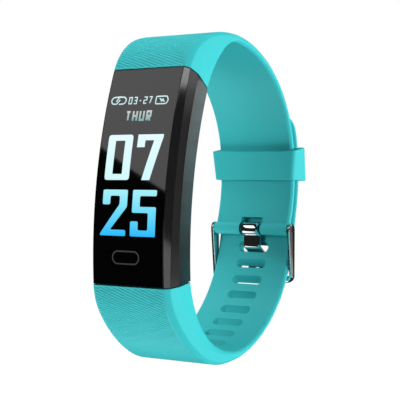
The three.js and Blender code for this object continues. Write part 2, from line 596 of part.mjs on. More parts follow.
// The whole outer path as one rail, to space the slots along it.
const straightStart = longOuter.length;
const slotRail = longOuter.line(straightLength).arc(TAIL_OUTER_RADIUS, 360 - JOIN_HEADING)
  .arc(crownLeg.radius + LAYER_GAP + TAIL_THICKNESS, 180 + TAIL_TIP_ANGLE);
const tongueDistance = straightStart + straightLength - TONGUE_SLOT;
const slotTool = (distance) => {
  const { point, heading } = slotRail.at(distance);
  const tool = new THREE.ExtrudeGeometry(roundedRect(SLOT_LENGTH, SLOT_WIDTH, SLOT_WIDTH / 2),
    { depth: 8, bevelEnabled: false, curveSegments: 6 });
  tool.translate(0, 0, -4);
  const along = new THREE.Vector3(0, Math.sin(heading), -Math.cos(heading));
  const out = new THREE.Vector3(0, -Math.cos(heading), -Math.sin(heading));
  const basis = new THREE.Matrix4().makeBasis(new THREE.Vector3(1, 0, 0), along, out);
  if (basis.determinant() < 0) basis.makeBasis(new THREE.Vector3(-1, 0, 0), along, out);
  return tool.applyMatrix4(basis.setPosition(0, point[0], -point[1]));
};
const pivotDistance = straightStart - chinLeg.radius * (rad(180 - REAR_LEAN) - rad(pivotHeading));
const archCuts = [];
const tailCuts = [];
for (let i = 0; i < SLOT_COUNT; i += 1) {
  const distance = tongueDistance + (SLOTS_ABOVE - i) * SLOT_PITCH;
  (distance > pivotDistance ? tailCuts : archCuts).push(slotTool(distance));
}

// The socket's room is the plug with its clearance, at every step of the pull-off swing.
const SWING_STEPS = 8;
for (let i = 0; i <= SWING_STEPS; i += 1) {
  const plug = atCapsuleEnd(plugBox(SOCKET_GAP, -1, PLUG_LENGTH + SOCKET_GAP), PLUG_DEPTH, -1);
  plug.translate(0, -RELEASE_PIVOT[0], -RELEASE_PIVOT[1]);
  plug.rotateX(-rad((RELEASE_ANGLE * i) / SWING_STEPS));
  archCuts.push(plug.translate(0, RELEASE_PIVOT[0], RELEASE_PIVOT[1]));
}
add('long_strap_arch', cut(loft(archRings), ...archCuts), 'silicone');
add('long_strap_tail', cut(loft(tailRings), ...tailCuts), 'silicone');

// Keeper ---------------------------------------------------------------------------------
const keeperBlock = (halfWidth, innerRadius, outerRadius, halfHeight) => {
  const spread = THREE.MathUtils.radToDeg(halfHeight / REAR_OUTER_RADIUS);
  const steps = 4;
  const rings = Array.from({ length: steps + 1 }, (_, i) => {
    const angle = rad(KEEPER_ANGLE - spread + (2 * spread * i) / steps);
    const section = roundedRect(2 * halfWidth, outerRadius - innerRadius, KEEPER_WALL * 0.8).getPoints(4);
    const middle = (innerRadius + outerRadius) / 2;
    return section.slice(0, -1).map((p) => new THREE.Vector3(
      p.x,
      REAR_CENTRE[0] + (middle + p.y) * Math.cos(angle),
      REAR_CENTRE[1] + (middle + p.y) * Math.sin(angle),
    ));
  });
  return loft(rings);
};
const keeperIn = REAR_OUTER_RADIUS - STRAP_THICKNESS - LAYER_GAP;
const keeperOut = TAIL_OUTER_RADIUS + LAYER_GAP;
const keeperHalf = STRAP_HALF_WIDTH + LAYER_GAP;
add('keeper_loop', cut(
  keeperBlock(keeperHalf + KEEPER_WALL, keeperIn - KEEPER_WALL, keeperOut + KEEPER_WALL, KEEPER_HEIGHT / 2),
  keeperBlock(keeperHalf, keeperIn, keeperOut, KEEPER_HEIGHT)), 'silicone');

// Buckle ---------------------------------------------------------------------------------
const ARM_INNER = STRAP_HALF_WIDTH + ARM_GAP;
const ARM_OUTER = ARM_INNER + ARM_THICKNESS;

// The outline round two circles of different size, as an arm's plate has.
function linkShape(a, ra, b, rb) {
  const along = Math.atan2(b[1] - a[1], b[0] - a[0]);
  const lean = Math.acos((ra - rb) / Math.hypot(b[0] - a[0], b[1] - a[1]));
  const shape = new THREE.Shape();
  shape.absarc(a[0], a[1], ra, along + lean, along + 2 * Math.PI - lean);
  shape.absarc(b[0], b[1], rb, along - lean, along + lean);
  shape.closePath();
  return shape;
}
const armPlate = (x) => plateX(linkShape(BAR_CENTRE, 1.35, FRAME_BAR_CENTRE, 0.95), ARM_THICKNESS, x);
const armX = (ARM_INNER + ARM_OUTER) / 2;
const frameBar = rodX(FRAME_BAR_RADIUS, -armX, armX, FRAME_BAR_CENTRE, 20);
add('buckle_frame', geometryOf(solid(armPlate(-armX)).add(solid(armPlate(armX))).add(solid(frameBar))
  .subtract(solid(rodX(TIP_RADIUS + 0.12, -20, 20, BAR_CENTRE)))), 'chrome');

// The tongue: a loop round the bar, then a plate out through the first slot onto the frame.
const loopOuter = ROLL_RADIUS + 0.1;
const tongueLoop = new THREE.Shape().absarc(BAR_CENTRE[0], BAR_CENTRE[1], loopOuter, 0, 2 * Math.PI);
tongueLoop.holes.push(new THREE.Path().absarc(BAR_CENTRE[0], BAR_CENTRE[1], loopOuter - TONGUE_THICKNESS,
  0, 2 * Math.PI));
const restY = FRAME_BAR_CENTRE[0] + FRAME_BAR_RADIUS + 0.15;
const tongueLine = [
  new THREE.Vector2(BAR_CENTRE[0] + 0.2, BAR_CENTRE[1] - loopOuter + TONGUE_THICKNESS / 2),
  new THREE.Vector2(BAR_CENTRE[0] + 0.3, BAR_CENTRE[1] - 3.7),
  new THREE.Vector2(restY - 0.35, BAR_CENTRE[1] - 4.7),
  new THREE.Vector2(restY + 0.3, BAR_CENTRE[1] - 5.6),
  new THREE.Vector2(restY + 0.3, FRAME_BAR_CENTRE[1] - 0.7),
];
function ribbonShape(line, thickness) {
  const sides = [1, -1].map((side) => line.map((p, i) => {
    const before = line[Math.max(i - 1, 0)];
    const after = line[Math.min(i + 1, line.length - 1)];
    const along = after.clone().sub(before).normalize();
    return new THREE.Vector2(p.x - along.y * side * thickness / 2, p.y + along.x * side * thickness / 2);
  }));
  return new THREE.Shape([...sides[0], ...sides[1].reverse()]);
}
add('buckle_tongue', geometryOf(solid(plateX(tongueLoop, TONGUE_WIDTH))
  .add(solid(plateX(ribbonShape(tongueLine, TONGUE_THICKNESS), TONGUE_WIDTH)))), 'chrome');

// Spring bar -----------------------------------------------------------------------------
add('spring_bar_barrel', cut(
  rodX(BAR_RADIUS, -BAR_HALF_LENGTH, BAR_HALF_LENGTH, BAR_CENTRE),
  rodX(BAR_BORE_RADIUS, -20, 20, BAR_CENTRE, 16)), 'steel');
const SHAFT_START = 5.6;
add('spring_bar_spring', rodX(TIP_RADIUS, -(SHAFT_START - TIP_TRAVEL - 0.1), SHAFT_START - TIP_TRAVEL - 0.1,
  BAR_CENTRE, 12), 'steel');
const collarIn = BAR_HALF_LENGTH + TIP_TRAVEL + 0.1;
const collarOut = collarIn + 0.45;
const tipEnd = ARM_OUTER - 0.15;
for (const [name, side] of [['spring_bar_tip_left', -1], ['spring_bar_tip_right', 1]]) {
  const rod = (radius, from, to) => solid(rodX(radius, Math.min(side * from, side * to),
    Math.max(side * from, side * to), BAR_CENTRE, 16));
  add(name, geometryOf(rod(TIP_RADIUS, SHAFT_START, tipEnd).add(rod(TIP_COLLAR_RADIUS, collarIn, collarOut))),
    'steel');
}

export default group;
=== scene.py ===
# %% [markdown]
# # A fitness tracker band
# The object is a slim tracker: a dark curved capsule on a teal silicone strap, closed by a polished
# pin buckle and a sliding keeper loop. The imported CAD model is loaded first, as a fixed frame. Every
# visible skin is then worked out with numpy over that frame, in the same place and at the same size.

# %% Tools and the frame
import math

import bmesh
import bpy
import numpy as np
from mathutils import Matrix, Vector
from mathutils.geometry import tessellate_polygon
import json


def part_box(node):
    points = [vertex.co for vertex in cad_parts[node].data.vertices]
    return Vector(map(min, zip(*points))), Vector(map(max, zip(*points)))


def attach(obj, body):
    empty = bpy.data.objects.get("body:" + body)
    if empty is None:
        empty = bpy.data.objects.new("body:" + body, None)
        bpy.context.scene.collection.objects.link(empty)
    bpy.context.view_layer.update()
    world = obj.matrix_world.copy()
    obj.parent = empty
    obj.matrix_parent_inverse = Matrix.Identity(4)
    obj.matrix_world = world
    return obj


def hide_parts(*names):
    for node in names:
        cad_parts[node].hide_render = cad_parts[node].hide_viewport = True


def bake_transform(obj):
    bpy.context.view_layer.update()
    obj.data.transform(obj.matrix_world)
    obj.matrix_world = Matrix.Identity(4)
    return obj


MM = 0.001
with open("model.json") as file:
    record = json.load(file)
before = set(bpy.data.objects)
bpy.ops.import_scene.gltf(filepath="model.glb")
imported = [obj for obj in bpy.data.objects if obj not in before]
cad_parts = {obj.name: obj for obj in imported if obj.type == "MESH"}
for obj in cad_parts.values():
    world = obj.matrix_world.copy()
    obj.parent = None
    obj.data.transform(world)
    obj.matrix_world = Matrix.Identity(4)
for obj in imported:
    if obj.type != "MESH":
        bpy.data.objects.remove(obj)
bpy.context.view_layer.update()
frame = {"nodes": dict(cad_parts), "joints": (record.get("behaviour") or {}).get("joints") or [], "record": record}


def joint_yz(name):
    """The (y, z) of a hinge's axis, in millimetres."""
    joint = next(j for j in frame["joints"] if j["name"] == name)
    return np.array(joint["pos_m"][1:]) / MM


# %% [markdown]
# ## The loop's own plane
# The band is drawn side-on, in a plane whose origin is the middle of the chord between the two ends of
# the glass. The keeper slides round the centre of the arc behind the wrist, so that hinge gives the
# plane's place. One function moves finished points from this plane into the frame, in metres.

# %% The loop's plane
REAR_CENTRE = np.array([8.95, 1.9])
ORIGIN = joint_yz("keeper_slide") - REAR_CENTRE
BAR_CENTRE = joint_yz("buckle_frame_swing") - ORIGIN


def to_frame(points):
    """Loop-plane millimetres to frame metres: a shift in y and z, then the scale."""
    return (np.asarray(points, float) + [0, *ORIGIN]) * MM


# %% [markdown]
# ## Meshes from grids
# A surface here is a grid of points: one row for each station, one column for each place round the
# section. Rows are joined to rows by four-sided faces, and columns wrap round. A closed skin has its
# signed volume tested, so that its faces always point outwards.

# %% Grid to mesh
def link(mesh_name, vertices, faces, material, angle=32):
    """A smooth-shaded object from arrays, with edges sharper than the angle kept crisp."""
    mesh = bpy.data.meshes.new(mesh_name)
    mesh.from_pydata(vertices.tolist(), [], faces)
    mesh.update()
    mesh.shade_smooth()
    mesh.set_sharp_from_angle(angle=math.radians(angle))
    obj = bpy.data.objects.new(mesh_name, mesh)
    bpy.context.scene.collection.objects.link(obj)
    mesh.materials.append(material)
    return obj


def quads(rows, columns, wrap_rows=False):
    """The corner numbers of every face of a grid whose columns wrap."""
    r = np.arange(rows if wrap_rows else rows - 1)[:, None]
    c = np.arange(columns)[None, :]
    nr, nc = (r + 1) % rows, (c + 1) % columns
    corners = [r * columns + c, r * columns + nc, nr * columns + nc, nr * columns + c]
    return np.stack(corners, -1).reshape(-1, 4)


def signed_volume(vertices, faces):
    """The sum over quads of the tetrahedra that they make with the origin."""
    a, b, c, d = (vertices[faces[:, i]] for i in range(4))
    return (np.einsum("ij,ij->i", a, np.cross(b, c)) + np.einsum("ij,ij->i", a, np.cross(c, d))).sum() / 6


def skin(name, grid, material, wrap_rows=False, angle=32):
    """A closed skin over a grid of loop-plane points; open ends are closed by a flat cap."""
    rows, columns = grid.shape[:2]
    vertices = to_frame(grid.reshape(-1, 3))
    faces = quads(rows, columns, wrap_rows)
    inward = signed_volume(vertices - vertices.mean(0), faces) < 0
    if inward:
        faces = faces[:, ::-1]
    polygons = faces.tolist()
    if not wrap_rows:
        first, last = list(range(columns)), list(range((rows - 1) * columns, rows * columns))
        polygons += [first[::-1], last] if not inward else [first, last[::-1]]
    return link(name, vertices, polygons, material, angle)


def carve(obj, tool, operation="DIFFERENCE"):
    """Cuts or joins by another closed skin, and removes that skin."""
    modifier = obj.modifiers.new("carve", "BOOLEAN")
    modifier.object, modifier.operation, modifier.solver = tool, operation, "EXACT"
    depsgraph = bpy.context.evaluated_depsgraph_get()
    carved = bpy.data.meshes.new_from_object(obj.evaluated_get(depsgraph))
    obj.modifiers.clear()
    old = obj.data
    obj.data = carved
    bpy.data.meshes.remove(old)
    bpy.data.objects.remove(tool)
    carved.name = obj.name
    return obj


def crisp(obj, angle=32):
    """Sets sharp edges again after a cut, and weights normals by face area so that flats look flat."""
    obj.data.shade_smooth()
    obj.data.set_sharp_from_angle(angle=math.radians(angle))
    obj.modifiers.new("flat faces", "WEIGHTED_NORMAL").keep_sharp = True
    return obj


# %% [markdown]
# ## Rounded sections
# A moulded edge is never a knife edge. A section is written as a few corners, and each corner is
# replaced by a short quadratic curve that leaves both of its sides smoothly. A long flat side can be
# given extra columns, so that fine ribs can be pressed into it later.

# %% Rounding the corners of a section
def rounded(corners, cut, steps=5, fill=None):
    """Rounds closed polygons, (stations, corners, 2), by curves that start `cut` from each corner.

    Each curve is (1-t)^2 A + 2t(1-t) P + t^2 B, from A before the corner P to B after it. `fill`
    maps a corner's number to how many extra points follow it along the next side.
    """
    corners = np.asarray(corners, float)
    before, after = np.roll(corners, 1, axis=1), np.roll(corners, -1, axis=1)
    back, ahead = before - corners, after - corners
    back_length = np.linalg.norm(back, axis=-1, keepdims=True) + 1e-9
    ahead_length = np.linalg.norm(ahead, axis=-1, keepdims=True) + 1e-9
    a = corners + back * np.minimum(cut / back_length, 0.45)
    b = corners + ahead * np.minimum(cut / ahead_length, 0.45)
    t = np.linspace(0, 1, steps)[None, :, None]
    parts = []
    for k in range(corners.shape[1]):
        parts.append((1 - t) ** 2 * a[:, k, None] + 2 * t * (1 - t) * corners[:, k, None]
                     + t**2 * b[:, k, None])
        if fill and k in fill:
            u = np.linspace(0, 1, fill[k] + 2)[None, 1:-1, None]
            start, end = b[:, k, None], a[:, (k + 1) % corners.shape[1], None]
            parts.append(start + (end - start) * u)
    return np.concatenate(parts, axis=1)


def both_sides(half):
    """A half section, (stations, corners, 2) or (corners, 2), with its mirror image after it."""
    half = np.asarray(half, float)
    return np.concatenate([half, (half * [-1, 1])[..., ::-1, :]], axis=-2)


# %% [markdown]
# ## Materials
# Each finish is a node tree built by two small helpers: one adds a node with its settings and links, and
# one turns an sRGB hex value into the linear colour that the nodes expect. Bump comes from noise at the
# grain's real size.

# %% Material helpers
def colour(hex_value, alpha=1.0):
    """Linear RGBA from an sRGB hex value: the standard's curve, channel by channel."""
    channels = np.array([int(hex_value[i:i + 2], 16) / 255 for i in (1, 3, 5)])
    linear = np.where(channels <= 0.04045, channels / 12.92, ((channels + 0.055) / 1.055) ** 2.4)
    return (*linear.tolist(), alpha)


def node(tree, kind, settings=None, **inputs):
    """Adds a node; each input is a value or another node's output socket."""
    made = tree.nodes.new(kind)
    for key, value in (settings or {}).items():
        setattr(made, key, value)
    for key, value in inputs.items():
        socket = made.inputs[int(key[1:])] if key[1:].isdigit() else made.inputs[key.replace("_", " ")]
        if isinstance(value, bpy.types.NodeSocket):
            tree.links.new(value, socket)
        else:
            socket.default_value = value
    return made


def finish_material(name, base, second=None, roughness=0.5, metallic=0.0, mottle_mm=4.0, grain_mm=0.3,
                    grain_depth_mm=0.004, uneven=0.06, **shader_inputs):
    """A surface of two close shades in soft patches, with uneven gloss and a fine raised grain."""
    material = bpy.data.materials.new(name)
    material.use_nodes = True
    tree = material.node_tree
    shader = tree.nodes["Principled BSDF"]
    place = node(tree, "ShaderNodeTexCoord").outputs["Object"]
    patches = node(tree, "ShaderNodeTexNoise", Vector=place, Scale=1 / (mottle_mm * MM), Detail=3.0)
    mix = node(tree, "ShaderNodeMix", {"data_type": "RGBA"}, _0=patches.outputs["Fac"],
               _6=colour(base), _7=colour(second or base))
    tree.links.new(mix.outputs[2], shader.inputs["Base Color"])
    gloss = node(tree, "ShaderNodeMapRange", Value=patches.outputs["Fac"],
                 To_Min=roughness - uneven / 2, To_Max=roughness + uneven / 2)
    tree.links.new(gloss.outputs["Result"], shader.inputs["Roughness"])
    grain = node(tree, "ShaderNodeTexNoise", Vector=place, Scale=1 / (grain_mm * MM), Detail=2.0)
    bump = node(tree, "ShaderNodeBump", Height=grain.outputs["Fac"], Distance=grain_depth_mm * MM,
                Strength=1.0)
    tree.links.new(bump.outputs["Normal"], shader.inputs["Normal"])
    shader.inputs["Metallic"].default_value = metallic
    for key, value in shader_inputs.items():
        shader.inputs[key.replace("_", " ")].default_value = value
    return material


# %% Finishes of the outside
# Silicone rubber, moulded with a fine matt texture: a soft wide highlight and even, strong colour.
SILICONE = finish_material("moulded silicone", "#33B6BA", "#3BBCC0", roughness=0.56, mottle_mm=14,
                           grain_mm=0.18, grain_depth_mm=0.006, Specular_IOR_Level=0.35)
# ABS moulded against a polished tool: nearly black, with a clear, slightly soft reflection on each facet.
CASE = finish_material("glossy black ABS", "#151516", "#19191A", roughness=0.1, uneven=0.03, mottle_mm=6,
                       grain_mm=0.6, grain_depth_mm=0.001, Specular_IOR_Level=0.6)
# The back half is the same ABS with a fine satin texture, which spreads its reflections a little more.
CASE_BACK = finish_material("fine satin ABS", "#19191A", "#1E1E1F", roughness=0.2, mottle_mm=6,
                            grain_mm=0.15, grain_depth_mm=0.001)
# Chemically toughened cover glass over black ink: nearly a mirror, at 4 percent, with no grain.
GLASS = finish_material("inked cover glass", "#010101", "#020202", roughness=0.035, uneven=0.01,
                        grain_mm=3.0, grain_depth_mm=0.0, Specular_IOR_Level=0.5)
# Chrome plate over brass: bright, cool, and polished, with the faint waviness of buffing.
CHROME = finish_material("polished chrome plate", "#E6E8EA", "#F0F1F2", roughness=0.07, uneven=0.03,
                         metallic=1.0, grain_mm=1.4, grain_depth_mm=0.004)
# Drawn stainless steel, as spring bars and springs are.
STEEL = finish_material("drawn stainless steel", "#B9BBBD", "#C6C8CA", roughness=0.28, metallic=1.0,
                        grain_mm=0.25, grain_depth_mm=0.002)

# %% [markdown]
# ## Rails
# The side view is a chain of arcs and one straight stretch, each running smoothly into the next. A rail
# knows its legs, so a whole array of distances turns into points and headings at once. The heading is
# measured from +z towards +y, and the wearer's side is always on its right.

# %% Rails
def right_of(heading):
    """The unit vector to the right of a heading: (cos, -sin)."""
    return np.stack([np.cos(heading), -np.sin(heading)], -1)


class Rail:
    """Arcs and lines joined smoothly, drawn in the loop's plane."""

    def __init__(self, point, heading_degrees):
        self.point = np.array(point, float)
        self.heading = math.radians(heading_degrees)
        self.legs = []

    def arc(self, radius, heading_degrees):
        """Turns right round a circle until the given heading."""
        centre = self.point + radius * right_of(self.heading)
        end = math.radians(heading_degrees)
        self.legs.append((centre, radius, self.heading, end, radius * (end - self.heading)))
        self.heading, self.point = end, centre - radius * right_of(end)
        return self

    def arc_onto_circle(self, centre, radius):
        """The arc that meets a circle from inside: its centre is radius - r away from the circle's."""
        q = self.point - centre
        r = (radius**2 - q @ q) / (2 * (radius + q @ right_of(self.heading)))
        own = self.point + r * right_of(self.heading) - centre
        return self.arc(r, 180 - math.degrees(math.atan2(own[1], own[0])))

    def arc_onto_line(self, point, heading_degrees):
        """The arc that meets a line: both tangents are as far from its centre."""
        here, there = right_of(self.heading), right_of(math.radians(heading_degrees))
        return self.arc((self.point - point) @ there / (1 - here @ there), heading_degrees)

    def line(self, length):
        """Straight on."""
        self.legs.append((self.point.copy(), None, self.heading, self.heading, length))
        self.point = self.point + length * np.array([math.sin(self.heading), math.cos(self.heading)])
        return self

    @property
    def length(self):
        return sum(leg[4] for leg in self.legs)

    def at(self, distance):
        """Points and headings at an array of distances."""
        distance = np.asarray(distance, float)
        points, headings = np.zeros((*distance.shape, 2)), np.zeros(distance.shape)
        start = 0.0
        for number, (anchor, radius, from_heading, to_heading, length) in enumerate(self.legs):
            here = distance >= start - 1e-9 if number else np.ones(distance.shape, bool)
            local = distance - start
            heading = from_heading + (to_heading - from_heading) * local / length
            if radius is None:
                spot = anchor + local[:, None] * np.array([math.sin(from_heading), math.cos(from_heading)])
            else:
                spot = anchor - radius * right_of(heading)
            points[here], headings[here] = spot[here], heading[here]
            start += length
        return points, headings


# %% [markdown]
# ## Sizes of the band
# These repeat the CAD model's driving sizes, in millimetres: the capsule is a slice of three concentric
# arcs, and the strap starts with the capsule's own section and thins out to a flat ribbon.

# %% Sizes
LENS_RADIUS, HALF_CHORD, CASE_DEPTH = 99.0, 20.25, 10.1
FACE_X, SIDE_X, BACK_X = 8.1, 8.9, 7.0
BEVEL_DEPTH, SIDE_DEPTH = 1.0, 3.8
STRAP_X, STRAP_THICK, TAIL_THICK, EDGE = 9.0, 1.5, 1.25, 0.45
REAR_RADIUS, LAYER_GAP, FIT_GAP = 33.8, 0.3, 0.25
TAIL_RADIUS = REAR_RADIUS + LAYER_GAP + TAIL_THICK

LENS_CENTRE = np.array([math.sqrt(LENS_RADIUS**2 - HALF_CHORD**2), 0.0])
END_ANGLE = math.asin(HALF_CHORD / LENS_RADIUS)


def on_capsule(x, depth, angle):
    """Capsule point: `depth` under the face, `angle` round the glass's centre, `x` across."""
    x, depth, angle = np.broadcast_arrays(x, depth, angle)
    r = LENS_RADIUS - depth
    return np.stack([x, LENS_CENTRE[0] - r * np.cos(angle), r * np.sin(angle)], -1)


# %% The strap's rails
end_heading = math.degrees(END_ANGLE)
face_corner = (0, HALF_CHORD)
back_corner = on_capsule(0.0, CASE_DEPTH, END_ANGLE)[1:]
UPSIDE_DOWN = np.array([1, -1])

upper_outer = Rail(face_corner, end_heading).arc(10.9, 65).arc_onto_circle(REAR_CENTRE, REAR_RADIUS)
crown_centre, crown_radius, crown_from, crown_to, _ = upper_outer.legs[1]
join_heading = math.degrees(crown_to)
upper_inner = Rail(back_corner, 0).arc(15, 35).arc_onto_circle(crown_centre, crown_radius - STRAP_THICK)
upper_stop = upper_outer.legs[0][4] + crown_radius * (upper_inner.heading - crown_from)
bar_angle = math.degrees(math.atan2(*(BAR_CENTRE - REAR_CENTRE)[::-1]))
upper_outer.arc(REAR_RADIUS, 180 - bar_angle)

LEAN = 3.4
low_centre = REAR_CENTRE * UPSIDE_DOWN
line_top = low_centre - TAIL_RADIUS * right_of(math.radians(180 - LEAN))
lower_outer = Rail(face_corner, end_heading).arc(11.2, 43).arc(26.6, 71).arc(15.7, 99.3)
lower_outer.arc_onto_line(line_top, 180 - LEAN)
chin_centre, chin_radius, _, chin_end, _ = lower_outer.legs[-1]
lower_inner = Rail(back_corner, 8).arc(17.2, 30).arc_onto_circle(chin_centre, chin_radius - TAIL_THICK)
lower_stop = lower_outer.length - chin_radius * (chin_end - lower_inner.heading)
lower_outer.line(float(np.linalg.norm(lower_outer.point - line_top)))
line_end = lower_outer.length
lower_outer.arc(TAIL_RADIUS, 360 - join_heading).arc(crown_radius + LAYER_GAP + TAIL_THICK, 180 + 35.6)
print(f"upper strap {upper_outer.length:.1f} mm, lower strap {lower_outer.length:.1f} mm along the outside")

# %% [markdown]
# ## The strap's surface
# Two rails are walked together, one along the face and one along the wearer's side. At each station the
# section runs from the face's flat, over a bevel and an upright side, down a slanted facet to the back.
# The section planes fan out round the first bend, so the inner rail starts slowly. The moulded diagonal
# ribs are a wave pressed into the flat face, which fades out as the strap turns away.

# %% Strap surface
RIB_PITCH, RIB_DEPTH, RIB_SLOPE = 0.54, 0.13, math.radians(20)
RIB_COLUMNS = 72


def smoothstep(low, high, value):
    t = np.clip((value - low) / (high - low), 0, 1)
    return t * t * (3 - 2 * t)


def strap_rows(outer, stop, inner, slowness, thin, distance):
    """Outer and inner points at each distance: free rails up to `stop`, then an even thickness."""
    o, heading = outer.at(distance)
    share = np.clip((distance - FIT_GAP) / (stop - FIT_GAP), 0, 1) ** slowness
    i, _ = inner.at(FIT_GAP + (inner.length - FIT_GAP) * share)
    even = o + thin * right_of(heading)
    return o, np.where((distance <= stop)[:, None], i, even)


def strap_section(thickness):
    """Half section corners, (stations, 4, 2) of [x, depth], for an array of thicknesses."""
    w = np.clip((thickness - STRAP_THICK) / (CASE_DEPTH - STRAP_THICK), 0, 1)
    bevel = EDGE + (BEVEL_DEPTH - EDGE) * w
    side = np.minimum(thickness - 0.8 * EDGE, 1.1 + (SIDE_DEPTH - 1.1) * w**0.6)
    face_x = STRAP_X - EDGE + (FACE_X - STRAP_X + EDGE) * np.sqrt(w)
    side_x = STRAP_X + (SIDE_X - STRAP_X) * w
    back_x = STRAP_X - EDGE + (BACK_X - STRAP_X + EDGE) * w
    rows = [(back_x, thickness), (side_x, side), (side_x, bevel), (face_x, np.zeros_like(w))]
    return np.stack([np.stack(pair, -1) for pair in rows], 1)


def strap_grid(outer, stop, inner, slowness, thin, distance, z_sign, lean_sign, tip=0.0):
    """The strap as a grid of points; `tip` rounds the last few millimetres in plan."""
    o, i = strap_rows(outer, stop, inner, slowness, thin, distance)
    thickness = np.linalg.norm(i - o, axis=-1)
    section = rounded(both_sides(strap_section(thickness)), 0.2, fill={3: RIB_COLUMNS, 7: 10})
    x, depth = section[..., 0], section[..., 1]
    s = distance[:, None]
    wave = np.cos(np.pi * (s * math.cos(RIB_SLOPE) + lean_sign * x * math.sin(RIB_SLOPE)) / RIB_PITCH) ** 4
    fade = 1 - smoothstep(9.0, 24.0, s)
    on_face = (depth < 1e-6) * smoothstep(0, 0.35, FACE_X - 0.15 - np.abs(x)) * smoothstep(0.3, 0.6, s)
    depth = depth + RIB_DEPTH * wave * fade * on_face
    if tip:
        short_of_end = np.clip((distance[-1] - distance) / tip, 0, 1)
        x = x * (1 - (1 - short_of_end) ** 2.6)[:, None] ** (1 / 2.6)
    across = (i - o) / thickness[:, None]
    yz = o[:, None] + across[:, None] * depth[..., None]
    return np.stack([x, yz[..., 0], z_sign * yz[..., 1]], -1)


def stations(stop, end, fine=0.085, coarse=0.7):
    """Close stations where the ribs are, and wider ones after them."""
    wide = np.linspace(stop, end, int((end - stop) / coarse))
    return np.concatenate([np.arange(FIT_GAP, stop, fine), wide])


# %% [markdown]
# ## Upper strap
# This strap ends in a roll: on the real band its end is moulded round a tube that the spring bar goes
# through. The roll is a plain turned shape joined to the ribbon, with a square notch for the tongue.

# %% Upper strap
def rod(name, profile, centre, columns=48):
    """A turned shape about an axis along x: profile rows of [x, radius] round (y, z) = centre."""
    profile = np.asarray(profile, float)
    turn = np.linspace(0, 2 * np.pi, columns, endpoint=False)[None, :]
    x, r = profile[:, 0, None], profile[:, 1, None]
    grid = np.stack([x + 0 * turn, centre[0] + r * np.cos(turn), centre[1] + r * np.sin(turn)], -1)
    return skin(name, grid, SILICONE)


def block(name, low, high, soft=0.0, material=None):
    """A box between two loop-plane corners, its upright edges rounded by `soft`."""
    (x0, y0, z0), (x1, y1, z1) = low, high
    ring = rounded(np.array([[[x0, y0], [x1, y0], [x1, y1], [x0, y1]]]), soft, steps=4 if soft else 2)[0]
    grid = np.stack([np.column_stack([ring, np.full(len(ring), z)]) for z in (z0, z1)])
    return skin(name, grid, material or SILICONE)


ROLL_RADIUS, ROLL_BORE, NOTCH_X, NOTCH_RISE = 1.32, 0.9, 2.6, 2.4
upper_grid = strap_grid(upper_outer, upper_stop, upper_inner, 2.0, STRAP_THICK,
                        stations(24.0, upper_outer.length), 1, 1)
upper_strap = skin("strap_upper", upper_grid, SILICONE)
ends = [(-STRAP_X, 1.06), (-STRAP_X + 0.07, 1.22), (-STRAP_X + 0.25, ROLL_RADIUS)]
roll_profile = ends + [(-x, r) for x, r in ends[::-1]]
carve(upper_strap, rod("roll", roll_profile, BAR_CENTRE), "UNION")
carve(upper_strap, rod("bore", [(-12, ROLL_BORE), (12, ROLL_BORE)], BAR_CENTRE))
by, bz = BAR_CENTRE
carve(upper_strap, block("notch", (-NOTCH_X, by - 4, bz - 4), (NOTCH_X, by + 4, bz + NOTCH_RISE), 0.0))
crisp(upper_strap)
print("upper strap faces:", len(upper_strap.data.polygons))

# %% [markdown]
# ## Lower strap
# The slotted strap is one piece of silicone in life, so it is one skin here. The CAD model splits it behind the
# wrist, where it flexes when its end is pulled off the charging plug. Each slot is a stadium with a slightly
# flared mouth on the wearer's side.

# %% Lower strap
SLOT_LENGTH, SLOT_WIDTH, SLOT_PITCH = 7.0, 1.75, 3.88
TONGUE_SLOT, SLOTS_ABOVE, SLOT_COUNT = 8.5, 4, 12
IN_USE_WIDTH = 2.2


def stadium(length, width, columns=40):
    """Points round a stadium: a half turn round each end's centre."""
    half = np.linspace(-np.pi / 2, np.pi / 2, columns // 2)
    turn = np.concatenate([half, half + np.pi])
    shift = np.where(np.arange(len(turn)) < len(half), 1, -1) * (length - width) / 2
    return np.column_stack([shift + width / 2 * np.cos(turn), width / 2 * np.sin(turn)])


def slot_tool(distance, width, narrowing):
    """A stadium prism through the strap with a small flare at the wearer's face.

    The opening narrows towards the outer face by `narrowing`, all of it from the slot's upper side, so
    that a tongue coming from the wearer's side is led down and out.
    """
    point, heading = lower_outer.at(np.array([distance]))
    inward = right_of(heading)[0]
    along = np.array([math.sin(heading[0]), math.cos(heading[0])])
    # No ring lies in a face of the strap itself: a cut along shared planes would leave cracks.
    off_face = 0.01
    from_inside = TAIL_THICK - np.array([0.2, 0.06, off_face, -1.0])
    depths = np.concatenate([[-1.0, off_face, 0.06, 0.2, 0.45], from_inside])
    flares = [0.0, 0.0, 0.0, 0.0, 0.0, 0.0, 0.05, 0.12, 0.12]
    outwards = narrowing * (1 - smoothstep(0.0, TAIL_THICK, depths))
    rings = []
    for depth, flare, less in zip(depths, flares, outwards):
        flat = stadium(SLOT_LENGTH - less + 2 * flare, width - less + 2 * flare) - [0, less / 2]
        yz = point[0] + inward * depth + along * flat[:, 1, None]
        rings.append(np.column_stack([flat[:, 0], yz[:, 0], -yz[:, 1]]))
    return np.stack(rings)


